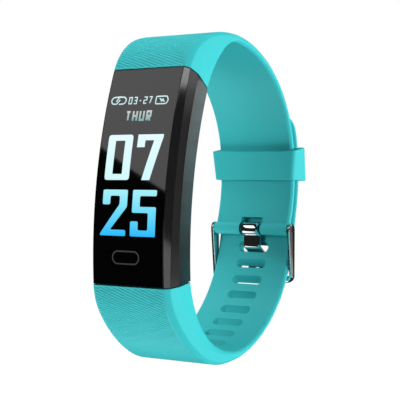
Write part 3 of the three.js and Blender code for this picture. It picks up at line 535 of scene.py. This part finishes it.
tongue_distance = line_end - TONGUE_SLOT
lower_grid = strap_grid(lower_outer, lower_stop, lower_inner, 1.45, TAIL_THICK,
                        stations(26.0, lower_outer.length), -1, -1, tip=5.5)
lower_strap = skin("strap_lower", lower_grid, SILICONE)
SLOT_NARROWING, IN_USE_NARROWING = 1.1, 0.6
tools = []
for k in range(SLOT_COUNT):
    place = tongue_distance + (SLOTS_ABOVE - k) * SLOT_PITCH
    in_use = k == SLOTS_ABOVE
    width, narrowing = (IN_USE_WIDTH, IN_USE_NARROWING) if in_use else (SLOT_WIDTH, SLOT_NARROWING)
    tools.append(skin(f"slot_{k}", slot_tool(place, width, narrowing), SILICONE))
chosen = {"active_object": tools[0], "selected_editable_objects": tools, "selected_objects": tools}
with bpy.context.temp_override(**chosen):
    bpy.ops.object.join()
carve(lower_strap, tools[0])
PLUG = (12.8, 3.0, 9.4)
PLUG_DEPTH = 5.8
socket = np.array([[[-PLUG[0] / 2, -PLUG[1] / 2], [PLUG[0] / 2, -PLUG[1] / 2],
                    [PLUG[0] / 2, PLUG[1] / 2], [-PLUG[0] / 2, PLUG[1] / 2]]])
socket_ring = rounded(socket, 0.4, steps=4)[0]


def below_capsule(x, down, away, depth=PLUG_DEPTH):
    """Points laid out along the lower end's normal: x across, `down` into the case, `away` from it."""
    base = on_capsule(0.0, depth, -END_ANGLE)
    axis_down = np.array([0, math.cos(END_ANGLE), math.sin(END_ANGLE)])
    axis_away = np.array([0, math.sin(END_ANGLE), -math.cos(END_ANGLE)])
    flat = base + np.asarray(down)[..., None] * axis_down + np.asarray(away)[..., None] * axis_away
    return flat + np.asarray(x)[..., None] * np.array([1, 0, 0])


# The socket's blind end is a little smaller, so that the wall outside it stays whole.
BLIND_END = np.array([0.965, 0.8])
rings = [below_capsule(*(socket_ring * shrink).T, np.full(len(socket_ring), away))
         for away, shrink in ((-1.0, np.ones(2)), (PLUG[2] - 2.5, np.ones(2)), (PLUG[2] - 0.25, BLIND_END))]
carve(lower_strap, skin("socket", np.stack(rings), SILICONE))
crisp(lower_strap)
print("lower strap faces:", len(lower_strap.data.polygons))

# %% [markdown]
# ## Keeper loop
# The keeper is a small moulded band that slips along both strap layers. Its surface is a rounded
# rectangle carried round a larger rounded rectangle, and bent to the arc behind the wrist.

# %% Keeper loop
KEEPER_ANGLE, KEEPER_HEIGHT, KEEPER_WALL, KEEPER_FLARE = 12.0, 6.6, 1.0, 0.28


def keeper_grid():
    """A rounded rectangle of wall and height, carried round the rounded rectangle of the opening.

    The front of the loop is stretched: it is wider at its upper edge than at its lower edge.
    """
    low, high = REAR_RADIUS - STRAP_THICK - LAYER_GAP, TAIL_RADIUS + LAYER_GAP
    half = STRAP_X + LAYER_GAP
    inner = np.array([[[-half, low], [half, low], [half, high], [-half, high]]])
    grow = np.array([[[-0.75, -1], [0.75, -1], [0.75, 1], [-0.75, 1]]]) * KEEPER_WALL
    edge = np.array([[[0, -1], [1, -1], [1, 1], [0, 1]]]) * [[[KEEPER_WALL, KEEPER_HEIGHT / 2]]]
    rows = []
    for across, along in rounded(edge, 0.2, steps=5)[0]:
        path = rounded(inner + grow * across / KEEPER_WALL, 0.35 + 0.8 * across, steps=9,
                       fill={0: 24, 2: 24, 1: 3, 3: 3})[0]
        angle = math.radians(KEEPER_ANGLE) + along / REAR_RADIUS
        front = (high - path[:, 1]) / (high - low)
        x = path[:, 0] + np.sign(path[:, 0]) * KEEPER_FLARE * front * along / (KEEPER_HEIGHT / 2)
        rows.append(np.column_stack([x, REAR_CENTRE[0] + path[:, 1] * math.cos(angle),
                                     REAR_CENTRE[1] + path[:, 1] * math.sin(angle)]))
    return np.stack(rows)


keeper = crisp(skin("keeper_band", keeper_grid(), SILICONE, wrap_rows=True), 40)

# %% [markdown]
# ## Case and glass
# The case is two mouldings that meet where its upright side turns into the slanted one. Both are the
# same section carried round the glass's centre. The upper one has a pocket for the glass, with a rim
# left standing all the way round, so its pocket floor rises to the face just before each end.

# %% Case and glass
RIM, GLASS_THICK, SEAM, BEVEL_BULGE = 0.1, 1.0, 0.06, 0.55
LEDGE = GLASS_THICK + FIT_GAP
CASE_ROWS = 40


def capsule_grid(corners, angles, cut):
    """Rounded [x, depth] polygons, one for each angle, carried round the glass's centre."""
    section = rounded(corners, cut, steps=4)
    return on_capsule(section[..., 0], section[..., 1], np.asarray(angles)[:, None])


def arc_angles(margin, count=CASE_ROWS):
    end = END_ANGLE - margin / LENS_RADIUS
    return np.linspace(-end, end, count)


rim_end = END_ANGLE - RIM / LENS_RADIUS
case_angles = np.concatenate([[-END_ANGLE], arc_angles(RIM), [END_ANGLE]])
case_angles = np.insert(case_angles, [1, len(case_angles) - 1], [-rim_end - 1e-5, rim_end + 1e-5])
pocket_floor = np.where(np.abs(case_angles) > rim_end + 5e-6, 0.02, LEDGE)
rail_x = FACE_X - RIM
upper_half = np.stack([np.broadcast_to(pair, (len(case_angles), 2)) for pair in (
    (SIDE_X, SIDE_DEPTH - SEAM), (SIDE_X, BEVEL_DEPTH), (FACE_X, 0.0), (rail_x, 0.0))], 1)
upper_half[:, 1, 1] += BEVEL_BULGE * (1 - (case_angles / END_ANGLE) ** 2)
floor_corner = np.stack([np.full(len(case_angles), rail_x), pocket_floor], -1)[:, None]
upper_corners = both_sides(np.concatenate([upper_half, floor_corner], 1))
upper_case = skin("case_upper", capsule_grid(upper_corners, case_angles, 0.07), CASE)
# Inside the ledge that carries the glass, the upper moulding is open, with room for what it holds.
LEDGE_WIDTH = 0.75
room_corners = both_sides([[rail_x - LEDGE_WIDTH, SIDE_DEPTH + 1.0], [rail_x - LEDGE_WIDTH, LEDGE - 0.2]])
room_corners = np.broadcast_to(room_corners, (CASE_ROWS, *room_corners.shape))
carve(upper_case, skin("room", capsule_grid(room_corners, arc_angles(1.0), 0.1), CASE))
crisp(upper_case, 25)

slant = (SIDE_X - BACK_X) / (CASE_DEPTH - SIDE_DEPTH)
lower_corners = both_sides([[BACK_X, CASE_DEPTH], [SIDE_X - slant * SEAM, SIDE_DEPTH + SEAM]])
lower_corners = np.broadcast_to(lower_corners, (CASE_ROWS, *lower_corners.shape))
lower_case = skin("case_lower", capsule_grid(lower_corners, arc_angles(0.0), 0.12), CASE_BACK)
hollow_corners = both_sides([[BACK_X - 0.7, CASE_DEPTH - 1.0], [SIDE_X - 1.0, SIDE_DEPTH - 1.0]])
hollow_corners = np.broadcast_to(hollow_corners, (CASE_ROWS, *hollow_corners.shape))
carve(lower_case, skin("hollow", capsule_grid(hollow_corners, arc_angles(1.0), 0.3), CASE))
window_low, window_high = (np.array(corner) / MM - [0, *ORIGIN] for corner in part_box("sensor_window"))


def window_grid(margin, low_y, high_y, soft=3.0):
    """The window's rounded outline in x and z, between two depths."""
    (x0, _, z0), (x1, _, z1) = window_low - margin, window_high + margin
    ring = rounded(np.array([[[x0, z0], [x1, z0], [x1, z1], [x0, z1]]]), soft, steps=10)[0]
    return np.stack([np.column_stack([ring[:, 0], np.full(len(ring), y), ring[:, 1]])
                     for y in (low_y, high_y)])


window_hole = window_grid(0.2, window_low[1] - 3, window_high[1] + 2)
carve(lower_case, skin("window hole", window_hole, CASE))
crisp(lower_case, 25)

glass_half = both_sides([[rail_x - 0.04, GLASS_THICK], [rail_x - 0.04, 0.0]])
glass_half = np.broadcast_to(glass_half, (CASE_ROWS, *glass_half.shape))
cover_glass = crisp(skin("cover_glass", capsule_grid(glass_half, arc_angles(RIM + 0.04), 0.06), GLASS), 25)

# %% [markdown]
# ## Screen graphics
# The display's lit figures lie on the glass as very thin plates. An outline is a short list of corners
# in millimetres on the unrolled face, softened where the figure is round. It is filled with triangles,
# sliced every half millimetre so that it can follow the curve, and then wrapped onto the arc.

# %% Glyph outlines
def round_outline(points, cut):
    """One outline with its corners softened."""
    return rounded(np.array([points], float), cut, steps=4)[0] if cut else np.array(points, float)


def unit(v):
    """Vectors made one long."""
    return v / np.linalg.norm(v, axis=-1, keepdims=True)


def ribbon(points, width, closed=False):
    """Outer and inner outlines of a line of even width, mitred at its bends."""
    p = np.array(points, float)
    ahead = np.roll(p, -1, 0) - p
    behind = p - np.roll(p, 1, 0)
    if not closed:
        ahead[-1], behind[0] = behind[-1], ahead[0]
    a, b = unit(ahead), unit(behind)
    normal = unit(np.stack([-(a + b)[:, 1], (a + b)[:, 0]], -1))
    reach = width / 2 / np.clip(np.abs((normal * np.stack([-a[:, 1], a[:, 0]], -1)).sum(-1)), 0.4, 1)
    left, right = p + normal * reach[:, None], p - normal * reach[:, None]
    return [left, right] if closed else [np.concatenate([left, right[::-1]])]


def ring_points(cx, cy, rx, ry, start=0, stop=360, count=20):
    """Points round an ellipse between two angles in degrees."""
    t = np.radians(np.linspace(start, stop, count, endpoint=stop - start < 360))
    return np.column_stack([cx + rx * np.cos(t), cy + ry * np.sin(t)])


DIGIT_W, DIGIT_H, UPRIGHT, BAR = 5.7, 8.5, 1.75, 1.12
inner_left, inner_right = UPRIGHT, DIGIT_W - UPRIGHT
DIGITS = {
    "0": [([(0, 0), (DIGIT_W, 0), (DIGIT_W, DIGIT_H), (0, DIGIT_H)], 0.6),
          ([(inner_left, BAR), (inner_right, BAR), (inner_right, DIGIT_H - BAR),
            (inner_left, DIGIT_H - BAR)], 0.12)],
    "7": [([(1.75, 0), (3.6, 0), (DIGIT_W + 0.05, DIGIT_H - 0.55), (DIGIT_W + 0.05, DIGIT_H), (0, DIGIT_H),
            (0, 6.1), (UPRIGHT, 6.1), (UPRIGHT, DIGIT_H - BAR), (3.75, DIGIT_H - BAR)], 0.06)],
    "2": [([(-0.35, 0), (DIGIT_W - 0.15, 0), (DIGIT_W - 0.15, BAR), (1.95, BAR), (DIGIT_W, 5.35),
            (DIGIT_W, DIGIT_H), (0, DIGIT_H), (0, 5.75), (UPRIGHT, 5.75), (UPRIGHT, DIGIT_H - BAR),
            (inner_right, DIGIT_H - BAR), (inner_right, 5.8), (-0.35, 0.35)], 0.35)],
    "5": [([(0, 0), (DIGIT_W, 0), (DIGIT_W, 5.4), (2.0, 5.4), (2.0, DIGIT_H - BAR), (DIGIT_W, DIGIT_H - BAR),
            (DIGIT_W, DIGIT_H), (0.3, DIGIT_H), (0.3, 4.3), (inner_right, 4.3), (inner_right, BAR),
            (UPRIGHT, BAR), (UPRIGHT, 2.75), (0, 2.75)], 0.3)],
}
SMALL_H, SMALL_W, SMALL_LINE = 1.45, 0.62, 0.22
SMALL = {
    "0": [([(0, 0), (1, 0), (1, 1), (0, 1)], True)],
    "3": [([(0, 1), (1, 1), (1, 0), (0, 0)], False), ([(0.2, 0.5), (0.87, 0.5)], False)],
    "2": [([(0, 1), (1, 1), (1, 0.55), (0, 0.45), (0, 0), (1, 0)], False)],
    "7": [([(0, 1), (1, 1), (0.45, 0)], False)],
    "-": [([(0.2, 0.45), (0.8, 0.45)], False)],
    "T": [([(0, 1), (1, 1)], False), ([(0.5, 0.9), (0.5, 0)], False)],
    "H": [([(0, 1.07), (0, -0.07)], False), ([(1, 1.07), (1, -0.07)], False),
          ([(0.12, 0.5), (0.88, 0.5)], False)],
    "U": [([(0, 1.07), (0, 0), (1, 0), (1, 1.07)], False)],
    "R": [([(0, -0.07), (0, 1), (1, 1), (1, 0.48), (0.12, 0.48)], False),
          ([(0.45, 0.42), (0.95, -0.1)], False)],
}


def small_text(word, left, base, width, height, gap, line):
    """Outlines of a short word in straight strokes of even width."""
    outlines = []
    for number, letter in enumerate(word):
        for points, closed in SMALL[letter]:
            placed = np.array(points) * [width, height] + [left + number * (width + gap), base]
            outlines.append(ribbon(placed, line, closed))
    return outlines


# %% Wrapping outlines onto the glass
GRAPHIC_RISE, SLICE = 0.012, 0.5


def glass_plate(name, shapes, material):
    """Fills each shape (an outline and its holes), slices it, and wraps it onto the glass's arc."""
    bm = bmesh.new()
    for loops in shapes:
        flat = [[Vector((x, s, 0)) for x, s in loop] for loop in loops]
        verts = [bm.verts.new(v) for loop in flat for v in loop]
        for triangle in tessellate_polygon(flat):
            bm.faces.new([verts[i] for i in triangle])
    low = min(v.co.y for v in bm.verts)
    high = max(v.co.y for v in bm.verts)
    for cut_at in np.arange(low + SLICE, high, SLICE):
        geometry = bm.verts[:] + bm.edges[:] + bm.faces[:]
        bmesh.ops.bisect_plane(bm, geom=geometry, plane_co=(0, cut_at, 0), plane_no=(0, 1, 0), dist=1e-6)
    mesh = bpy.data.meshes.new(name)
    bmesh.ops.recalc_face_normals(bm, faces=bm.faces[:])
    bm.to_mesh(mesh)
    bm.free()
    flat = np.array([v.co for v in mesh.vertices])
    wrapped = to_frame(on_capsule(flat[:, 0], -GRAPHIC_RISE, flat[:, 1] / LENS_RADIUS))
    mesh.vertices.foreach_set("co", wrapped.ravel())
    mesh.update()
    outward = np.array([p.normal.y * p.area for p in mesh.polygons]).sum() < 0
    if not outward:
        mesh.flip_normals()
    obj = bpy.data.objects.new(name, mesh)
    bpy.context.scene.collection.objects.link(obj)
    mesh.materials.append(material)
    solid = obj.modifiers.new("thickness", "SOLIDIFY")
    solid.thickness, solid.offset = 0.01 * MM, -1.0
    return obj


# %% Display light
def glow_material(name, stops, strength=1.0):
    """Light from the display, also used as a painted glow on the printed key outline: a colour ramp up the
    object's z, given as (z in mm, hex) stops.
    """
    material = bpy.data.materials.new(name)
    material.use_nodes = True
    tree = material.node_tree
    shader = tree.nodes["Principled BSDF"]
    place = node(tree, "ShaderNodeSeparateXYZ", Vector=node(tree, "ShaderNodeTexCoord").outputs["Object"])
    low, high = stops[0][0], stops[-1][0]
    height = node(tree, "ShaderNodeMapRange", Value=place.outputs["Z"],
                  From_Min=(low + ORIGIN[1]) * MM, From_Max=(high + ORIGIN[1]) * MM)
    ramp = node(tree, "ShaderNodeValToRGB", Fac=height.outputs["Result"])
    elements = ramp.color_ramp.elements
    while len(elements) < len(stops):
        elements.new(0.5)
    for element, (z, hex_value) in zip(elements, stops):
        element.position = (z - low) / (high - low)
    for element, (z, hex_value) in zip(elements, stops):
        element.color = colour(hex_value)
    tree.links.new(ramp.outputs["Color"], shader.inputs["Emission Color"])
    shader.inputs["Emission Strength"].default_value = strength
    shader.inputs["Base Color"].default_value = colour("#050505")
    shader.inputs["Roughness"].default_value = 0.4
    return material


TIME_GLOW = glow_material("display light, time", [(-11.3, "#22BBFF"), (-7.0, "#6CDCFC"), (-3.0, "#A4F1FB"),
                                                 (-1.0, "#D2FAFE"), (7.7, "#E6FCFF")], 0.98)
STATUS_GLOW = glow_material("display light, status", [(13.0, "#BFE9EA"), (15.0, "#DDF6F6")], 0.95)
DAY_GLOW = glow_material("display light, weekday", [(10.0, "#7FB3AE"), (11.3, "#B9CBC8"),
                                                   (12.2, "#D7D9D8")], 0.9)
# The printed key outline is no lamp: its dim grey is a painted glow, shown the same under any light.
KEY_PRINT_GLOW = glow_material("printed key outline, painted glow", [(-17.0, "#3B3B3C"), (-14.0, "#404041")], 0.9)

# %% Screen graphics
graphics = []
for name, left, base in (("0", -6.2, -1.0), ("7", 0.6, -1.0), ("2", -6.15, -11.3), ("5", 0.45, -11.3)):
    shape = [round_outline(np.array(points) + [left, base], cut) for points, cut in DIGITS[name]]
    graphics.append(glass_plate(f"time_digit_{name}", [shape], TIME_GLOW))
graphics.append(glass_plate("date_figures", small_text(
    "03-27", -2.88, 13.5, SMALL_W, SMALL_H - SMALL_LINE, 0.52, SMALL_LINE), STATUS_GLOW))
graphics.append(glass_plate("weekday_figures", small_text(
    "THUR", -2.92, 10.28, 0.82, 1.62, 0.76, 0.4), DAY_GLOW))

left_bend = ring_points(-6.3, 14.2, 0.75, 0.68, 90, 270, 12)
right_bend = ring_points(-4.4, 14.2, 0.75, 0.68, 90, -90, 12)
hook_left = np.concatenate([[(-4.9, 14.95)], left_bend, [(-5.75, 13.55)], [(-5.1, 14.35)]])
hook_right = np.concatenate([[(-5.95, 14.0)], [(-5.3, 14.88)], right_bend, [(-5.2, 13.48)]])
link_shapes = [ribbon(hook, 0.26) for hook in (hook_left, hook_right)]
cell = round_outline([(3.3, 13.3), (5.7, 13.3), (6.1, 13.95), (5.7, 14.75), (3.3, 14.75)], 0.25)
battery = ribbon(cell, 0.24, True)
bolt = [np.array([(3.95, 14.5), (4.75, 14.15), (4.85, 14.4), (5.4, 13.6), (4.7, 13.85), (4.6, 13.6)])]
graphics.append(glass_plate("status_icons", [*link_shapes, battery, bolt], STATUS_GLOW))
# The touch key's printed outline wears the painted glow.
key_line = stadium(6.0, 2.3) + [-0.45, -15.25]
graphics.append(glass_plate("touch_key_outline", [ribbon(key_line, 0.26, True)], KEY_PRINT_GLOW))

# %% [markdown]
# ## Buckle
# The buckle frame is a U of plated wire and plate. One section is carried along one path: down an arm,
# round a corner, along the outer bar and up the other arm. It widens into the round eye that the
# spring bar's tip sits in. The tongue is a strip wrapped round the bar and bent out through the strap.

# %% Buckle frame
ARM_X, ARM_HALF = STRAP_X + 0.45, 0.35
FRAME_BAR = np.array([43.34, -15.1])
FRAME_BAR_RADIUS, EYE_RADIUS, CORNER = 0.7, 1.25, 0.9
ROUND = np.linspace(0, 2 * np.pi, 28, endpoint=False)


def superellipse(a, b, power=2.6):
    """Points of |x/a|^n + |y/b|^n = 1, for arrays of half sizes a and b, and of powers n."""
    c, s = np.cos(ROUND), np.sin(ROUND)
    bend = 2 / np.broadcast_to(power, a.shape)[:, None]
    return a[:, None] * np.sign(c) * np.abs(c) ** bend, b[:, None] * np.sign(s) * np.abs(s) ** bend


def frame_grid():
    """Half the path in [x, distance down the arm], mirrored for the other arm."""
    arm = FRAME_BAR - BAR_CENTRE
    reach = float(np.linalg.norm(arm))
    down, side = arm / reach, np.array([arm[1], -arm[0]]) / reach
    eye = np.linspace(0, np.pi / 2, 8)[:-1]
    eye_down = -EYE_RADIUS * np.cos(eye)
    eye_wide = EYE_RADIUS * np.sin(eye)
    straight = np.linspace(0, reach - CORNER, 26)
    turn = np.linspace(0, np.pi / 2, 10)
    across = np.linspace(ARM_X - CORNER, 0, 14)
    on_arm, on_bar = len(eye) + len(straight), len(across) - 1
    x = np.concatenate([np.full(on_arm, ARM_X), ARM_X - CORNER + CORNER * np.cos(turn[1:]), across[1:]])
    s = np.concatenate([eye_down, straight, reach - CORNER + CORNER * np.sin(turn[1:]),
                        np.full(on_bar, reach)])
    heading = np.concatenate([np.zeros(on_arm), turn[1:], np.full(on_bar, np.pi / 2)])
    wide = np.concatenate([eye_wide, EYE_RADIUS - (EYE_RADIUS - FRAME_BAR_RADIUS) * straight / straight[-1],
                           np.full(len(turn) + len(across) - 2, FRAME_BAR_RADIUS)])
    thick = np.concatenate([ARM_HALF * np.sin(eye) ** 0.35, np.full(len(straight), ARM_HALF),
                            ARM_HALF + (FRAME_BAR_RADIUS - ARM_HALF) * turn[1:] / turn[-1],
                            np.full(len(across) - 1, FRAME_BAR_RADIUS)])
    wide[0], thick[0] = 0.02, 0.02
    u, v = superellipse(thick, wide, 5 - 3 * heading / (np.pi / 2))
    px = x[:, None] + u * np.cos(heading)[:, None]
    ps = s[:, None] + u * np.sin(heading)[:, None]
    yz = BAR_CENTRE + ps[..., None] * down + v[..., None] * side
    half = np.concatenate([px[..., None], yz], -1)
    return np.concatenate([half, (half * [-1, 1, 1])[-2::-1]])


buckle_frame = skin("buckle_frame_plated", frame_grid(), CHROME)
carve(buckle_frame, rod("tip bore", [(-12, 0.5), (12, 0.5)], BAR_CENTRE, 24))
crisp(buckle_frame, 40)

# %% Buckle tongue
TONGUE_X, TONGUE_T, LOOP_R = 2.1, 0.3, 1.12
REST_Y = FRAME_BAR[0] + FRAME_BAR_RADIUS + 0.15


def softened_line(points, cut, steps=8):
    """An open line whose inner corners are rounded by the same quadratic curves as a section's."""
    points = np.array(points, float)
    curve = rounded(points[None], cut, steps)[0]
    return np.concatenate([points[:1], curve[steps:-steps], points[-1:]])


def tongue_grid():
    """A strip's section carried nearly all the way round the bar, then down, out and down again."""
    turn = np.radians(np.linspace(-62, 258, 56))
    loop = LOOP_R * np.column_stack([np.cos(turn), np.sin(turn)])
    out = REST_Y - BAR_CENTRE[0]
    line = softened_line([loop[-1], (0.25, -1.22), (0.52, -3.75), (out - 0.35, -4.7), (out + 0.3, -5.6),
                          (out + 0.3, FRAME_BAR[1] - BAR_CENTRE[1] - 0.6)], 0.5)
    path = BAR_CENTRE + np.concatenate([loop, line[1:]])
    ahead = np.gradient(path, axis=0)
    ahead /= np.linalg.norm(ahead, axis=1, keepdims=True)
    normal = np.column_stack([-ahead[:, 1], ahead[:, 0]])
    section_x, section_t = superellipse(np.array([TONGUE_X]), np.array([TONGUE_T]), 3.2)
    yz = path[:, None] + normal[:, None] * section_t[..., None]
    x = np.broadcast_to(section_x[..., None], (*yz.shape[:2], 1))
    return np.concatenate([x, yz], -1)


buckle_tongue = crisp(skin("buckle_tongue_plated", tongue_grid(), CHROME), 40)

# %% [markdown]
# ## Bodies
# Every new skin except the lower strap rides on the body of the CAD node that it stands for. The lower strap stays
# fixed in the frame, and the two CAD pieces that it stands for are hidden.

# %% Riding and replacing
for piece, body, slot_name, replaced in (
    (upper_strap, "tracker", "strap_silicone", ["short_strap"]),
    (keeper, "keeper", "strap_silicone", ["keeper_loop"]),
    (upper_case, "tracker", "case_plastic", ["upper_case"]),
    (lower_case, "tracker", "case_plastic", ["lower_case"]),
    (cover_glass, "tracker", "lens_glass", ["cover_lens"]),
    (buckle_frame, "frame", "buckle_chrome", ["buckle_frame"]),
    (buckle_tongue, "tongue", "buckle_chrome", ["buckle_tongue"]),
    *((graphic, "tracker", "display", []) for graphic in graphics),
):
    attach(piece, body)
    if replaced:
        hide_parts(*replaced)

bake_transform(lower_strap)
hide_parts("long_strap_arch", "long_strap_tail")

# %% [markdown]
# ## Finishes of the inside
# The electronics stay as the CAD model has them, and only get their real finishes: solder mask on the
# boards, epoxy on the chips, foil round the cell, and gold on the contacts.

# %% Finishes of the CAD nodes
SLOT_FINISH = {
    "steel": STEEL,
    "case_plastic": CASE,
    "gasket": finish_material("black silicone seal", "#141414", "#191919", roughness=0.6),
    "window": finish_material("smoked polycarbonate", "#0A0B0C", "#0E0F10", roughness=0.12, uneven=0.02,
                              grain_depth_mm=0.0),
    "circuit_board": finish_material("green solder mask", "#1B4D37", "#215A40", roughness=0.4, mottle_mm=1.5,
                                     grain_mm=0.6, grain_depth_mm=0.01),
    "gold_plate": finish_material("gold plated copper", "#D9B45A", "#E3C270", roughness=0.25, metallic=1.0,
                                  grain_depth_mm=0.001),
    "chip_resin": finish_material("moulded epoxy", "#1A1B1C", "#222324", roughness=0.5, grain_mm=0.1),
    "foil": finish_material("laminated pouch foil", "#BFC2C6", "#CDD0D3", roughness=0.35, metallic=1.0,
                            mottle_mm=3, grain_mm=1.2, grain_depth_mm=0.02),
    "led_resin": finish_material("clear lamp resin", "#BFF2C8", "#CFF7D6", roughness=0.2),
    "display": GLASS,
}
slot_of = {entry["node"]: entry["material_slot"] for entry in frame["record"]["subparts"]}
for node_name, obj in frame["nodes"].items():
    finish = SLOT_FINISH.get(slot_of.get(node_name))
    if finish and not obj.hide_render:
        obj.data.materials.clear()
        obj.data.materials.append(finish)

# %% [markdown]
# ## Floor, light and camera
# The band is shown floating, so the floor is well below it and takes no shadow. The key is a soft panel
# in front and to the left. It is placed so that its slanted edge is what the glass mirrors: grey above
# the edge, black below it. A ring of soft boxes lights the matt silicone from all sides. The air is
# nearly dark, as between black flags in a studio, so the polished case mirrors only narrow strips.

# %% Floor and air
FLOOR_Z = -0.30
bpy.ops.mesh.primitive_plane_add(size=60, location=(0, 0, FLOOR_Z))
floor = bpy.context.object
floor.name = "studio_floor"
floor.visible_glossy = floor.visible_diffuse = False
paper = bpy.data.materials.new("white paper sweep")
paper.use_nodes = True
paper_shader = paper.node_tree.nodes["Principled BSDF"]
paper_shader.inputs["Base Color"].default_value = colour("#F4F4F4")
paper_shader.inputs["Roughness"].default_value = 0.9
paper_shader.inputs["Emission Color"].default_value = colour("#FFFFFF")
paper_shader.inputs["Emission Strength"].default_value = 1.0
floor.data.materials.append(paper)
floor.visible_shadow = False  # lets the low fills light the band from below

DIFFUSE_AIR, MIRROR_AIR = 0.03, 0.015
world = bpy.data.worlds.new("studio air")
bpy.context.scene.world = world
world.use_nodes = True
air = world.node_tree
air.nodes.clear()
path_kind = node(air, "ShaderNodeLightPath")
backdrop = node(air, "ShaderNodeBackground", Color=(1, 1, 1, 1), Strength=1.0)
soft_air = node(air, "ShaderNodeBackground", Color=(1, 1, 1, 1), Strength=DIFFUSE_AIR)
mirror_air = node(air, "ShaderNodeBackground", Color=(1, 1, 1, 1), Strength=MIRROR_AIR)
lit = node(air, "ShaderNodeMixShader", _0=path_kind.outputs["Is Glossy Ray"],
           _1=soft_air.outputs["Background"], _2=mirror_air.outputs["Background"])
shown = node(air, "ShaderNodeMixShader", _0=path_kind.outputs["Is Camera Ray"],
             _1=lit.outputs["Shader"], _2=backdrop.outputs["Background"])
node(air, "ShaderNodeOutputWorld", Surface=shown.outputs["Shader"])
bpy.context.scene.view_settings.view_transform = "Standard"


# %% Panels
def panel(name, centre, towards, edge, size, radiance, diffuse=True, glossy=True):
    """A rectangular softbox: `size` is across and along `edge`; power is radiance x pi x area."""
    lamp = bpy.data.lights.new(name, "AREA")
    lamp.shape, lamp.size, lamp.size_y = "RECTANGLE", size[0] * MM, size[1] * MM
    lamp.energy = radiance * math.pi * size[0] * size[1] * MM**2
    obj = bpy.data.objects.new(name, lamp)
    obj.visible_diffuse, obj.visible_glossy, obj.visible_camera = diffuse, glossy, False
    bpy.context.scene.collection.objects.link(obj)
    back = -Vector(towards).normalized()
    up = Vector(edge)
    up = (up - up.dot(back) * back).normalized()
    obj.matrix_world = Matrix.Translation(Vector(to_frame(centre))) @ Matrix(
        (up.cross(back), up, back)).transposed().to_4x4()
    return obj


def facing_panel(name, way, distance, size, radiance, **visible):
    """A panel at a distance in one direction from the band, turned to face it."""
    way = np.array(way, float) / np.linalg.norm(way)
    return panel(name, way * distance, -way, (0, 0, 1), size, radiance, **visible)


# The mirrored edge of the key panel, as two points of its near side, in the loop's plane.
EDGE_HIGH, EDGE_LOW = np.array([-287.8, -335.0, 102.6]), np.array([-259.3, -371.5, 24.8])
KEY_SIZE, KEY_RISE, KEY_RADIANCE = (130, 330), 55, 1.7
mirror_way = np.array([-0.607, -0.778, 0.14])
edge_way = (EDGE_HIGH - EDGE_LOW) / np.linalg.norm(EDGE_HIGH - EDGE_LOW)
sideways = np.cross(edge_way, mirror_way)
key_centre = EDGE_HIGH + edge_way * KEY_RISE + sideways * KEY_SIZE[0] / 2
panel("key panel", key_centre, -mirror_way, edge_way, KEY_SIZE, KEY_RADIANCE)
# A ring of equal soft boxes, at three levels: gentle in front, where the key already helps, strong along
# the right, and in between overhead and underneath, as mirrored pairs. None of them shows in the gloss.
FILL_DISTANCE, FILL_SIZE = 900, (500, 500)
FRONT_LEVEL, RIGHT_LEVEL, OVER_UNDER_LEVEL = 4, 9, 5.5
FILLS = (("front fill", (-0.4, -0.9, 0), FRONT_LEVEL),
         ("right fill", (1, 0, 0), RIGHT_LEVEL), ("back right fill", (1, 1, 0), RIGHT_LEVEL),
         ("top fill", (0, -0.2, 1), OVER_UNDER_LEVEL), ("low fill", (0, -0.2, -1), OVER_UNDER_LEVEL),
         ("top left fill", (-0.6, -0.2, 0.8), OVER_UNDER_LEVEL),
         ("low left fill", (-0.6, -0.2, -0.8), OVER_UNDER_LEVEL))
for name, way, level in FILLS:
    facing_panel(name, way, FILL_DISTANCE, FILL_SIZE, level, glossy=False)
# Narrow strips that only show as streaks in the polished case and buckle.
panel("bevel streak high", (272, -110, 158), (-0.9, 0.3, -0.3), (0, 0, 1), (160, 68), 5.0, diffuse=False)
panel("bevel streak low", (284, -110, -90), (-0.92, 0.33, 0.14), (0, 0, 1), (160, 150), 1.7, diffuse=False)
panel("buckle streak", (-210, -10, -320), (0.56, 0.1, 0.82), (0, 1, 0), (200, 260), 1.3, diffuse=False)
# The upright side mirrors a strip that is bright only at its two ends, as (middle height, height, radiance).
SIDE_STREAKS = [(95, 44, 1.0), (68, 10, 0.4), (33, 60, 0.1), (-3, 12, 0.25), (-34, 50, 0.6)]
for number, (height, rise, radiance) in enumerate(SIDE_STREAKS):
    panel(f"side streak {number}", (178, 226, height), (-0.56, -0.82, -0.1), (0, 0, 1), (110, rise),
          radiance, diffuse=False)
# The slanted side mirrors steps that fade downwards, close behind the case.
STEPS, STEP_RISE, STEP_LOW, STEP_BRIGHT = 10, 4.0, -18.5, 0.8
for number in range(STEPS):
    share = (number + 0.5) / STEPS
    panel(f"slant step {number}", (9.5, 20, STEP_LOW + STEPS * STEP_RISE * share), (0, -1, 0), (0, 0, 1),
          (6, STEP_RISE), STEP_BRIGHT * share ** 1.6, diffuse=False)

# %% Camera
camera_data = bpy.data.cameras.new("camera")
camera_data.sensor_width, camera_data.lens = 36.0, 107.76
camera_data.clip_start, camera_data.clip_end = 0.01, 100
camera = bpy.data.objects.new("camera", camera_data)
bpy.context.scene.collection.objects.link(camera)
look, over = Vector((-0.56234, 0.82031, 0.10428)), Vector((-0.01421, -0.13567, 0.99065))
look.normalize()
over = (over - over.dot(look) * look).normalized()
camera.matrix_world = Matrix.Translation(Vector(to_frame((133.73, -174.30, -26.36)))) @ Matrix(
    (look.cross(over), over, -look)).transposed().to_4x4()
bpy.context.scene.camera = camera
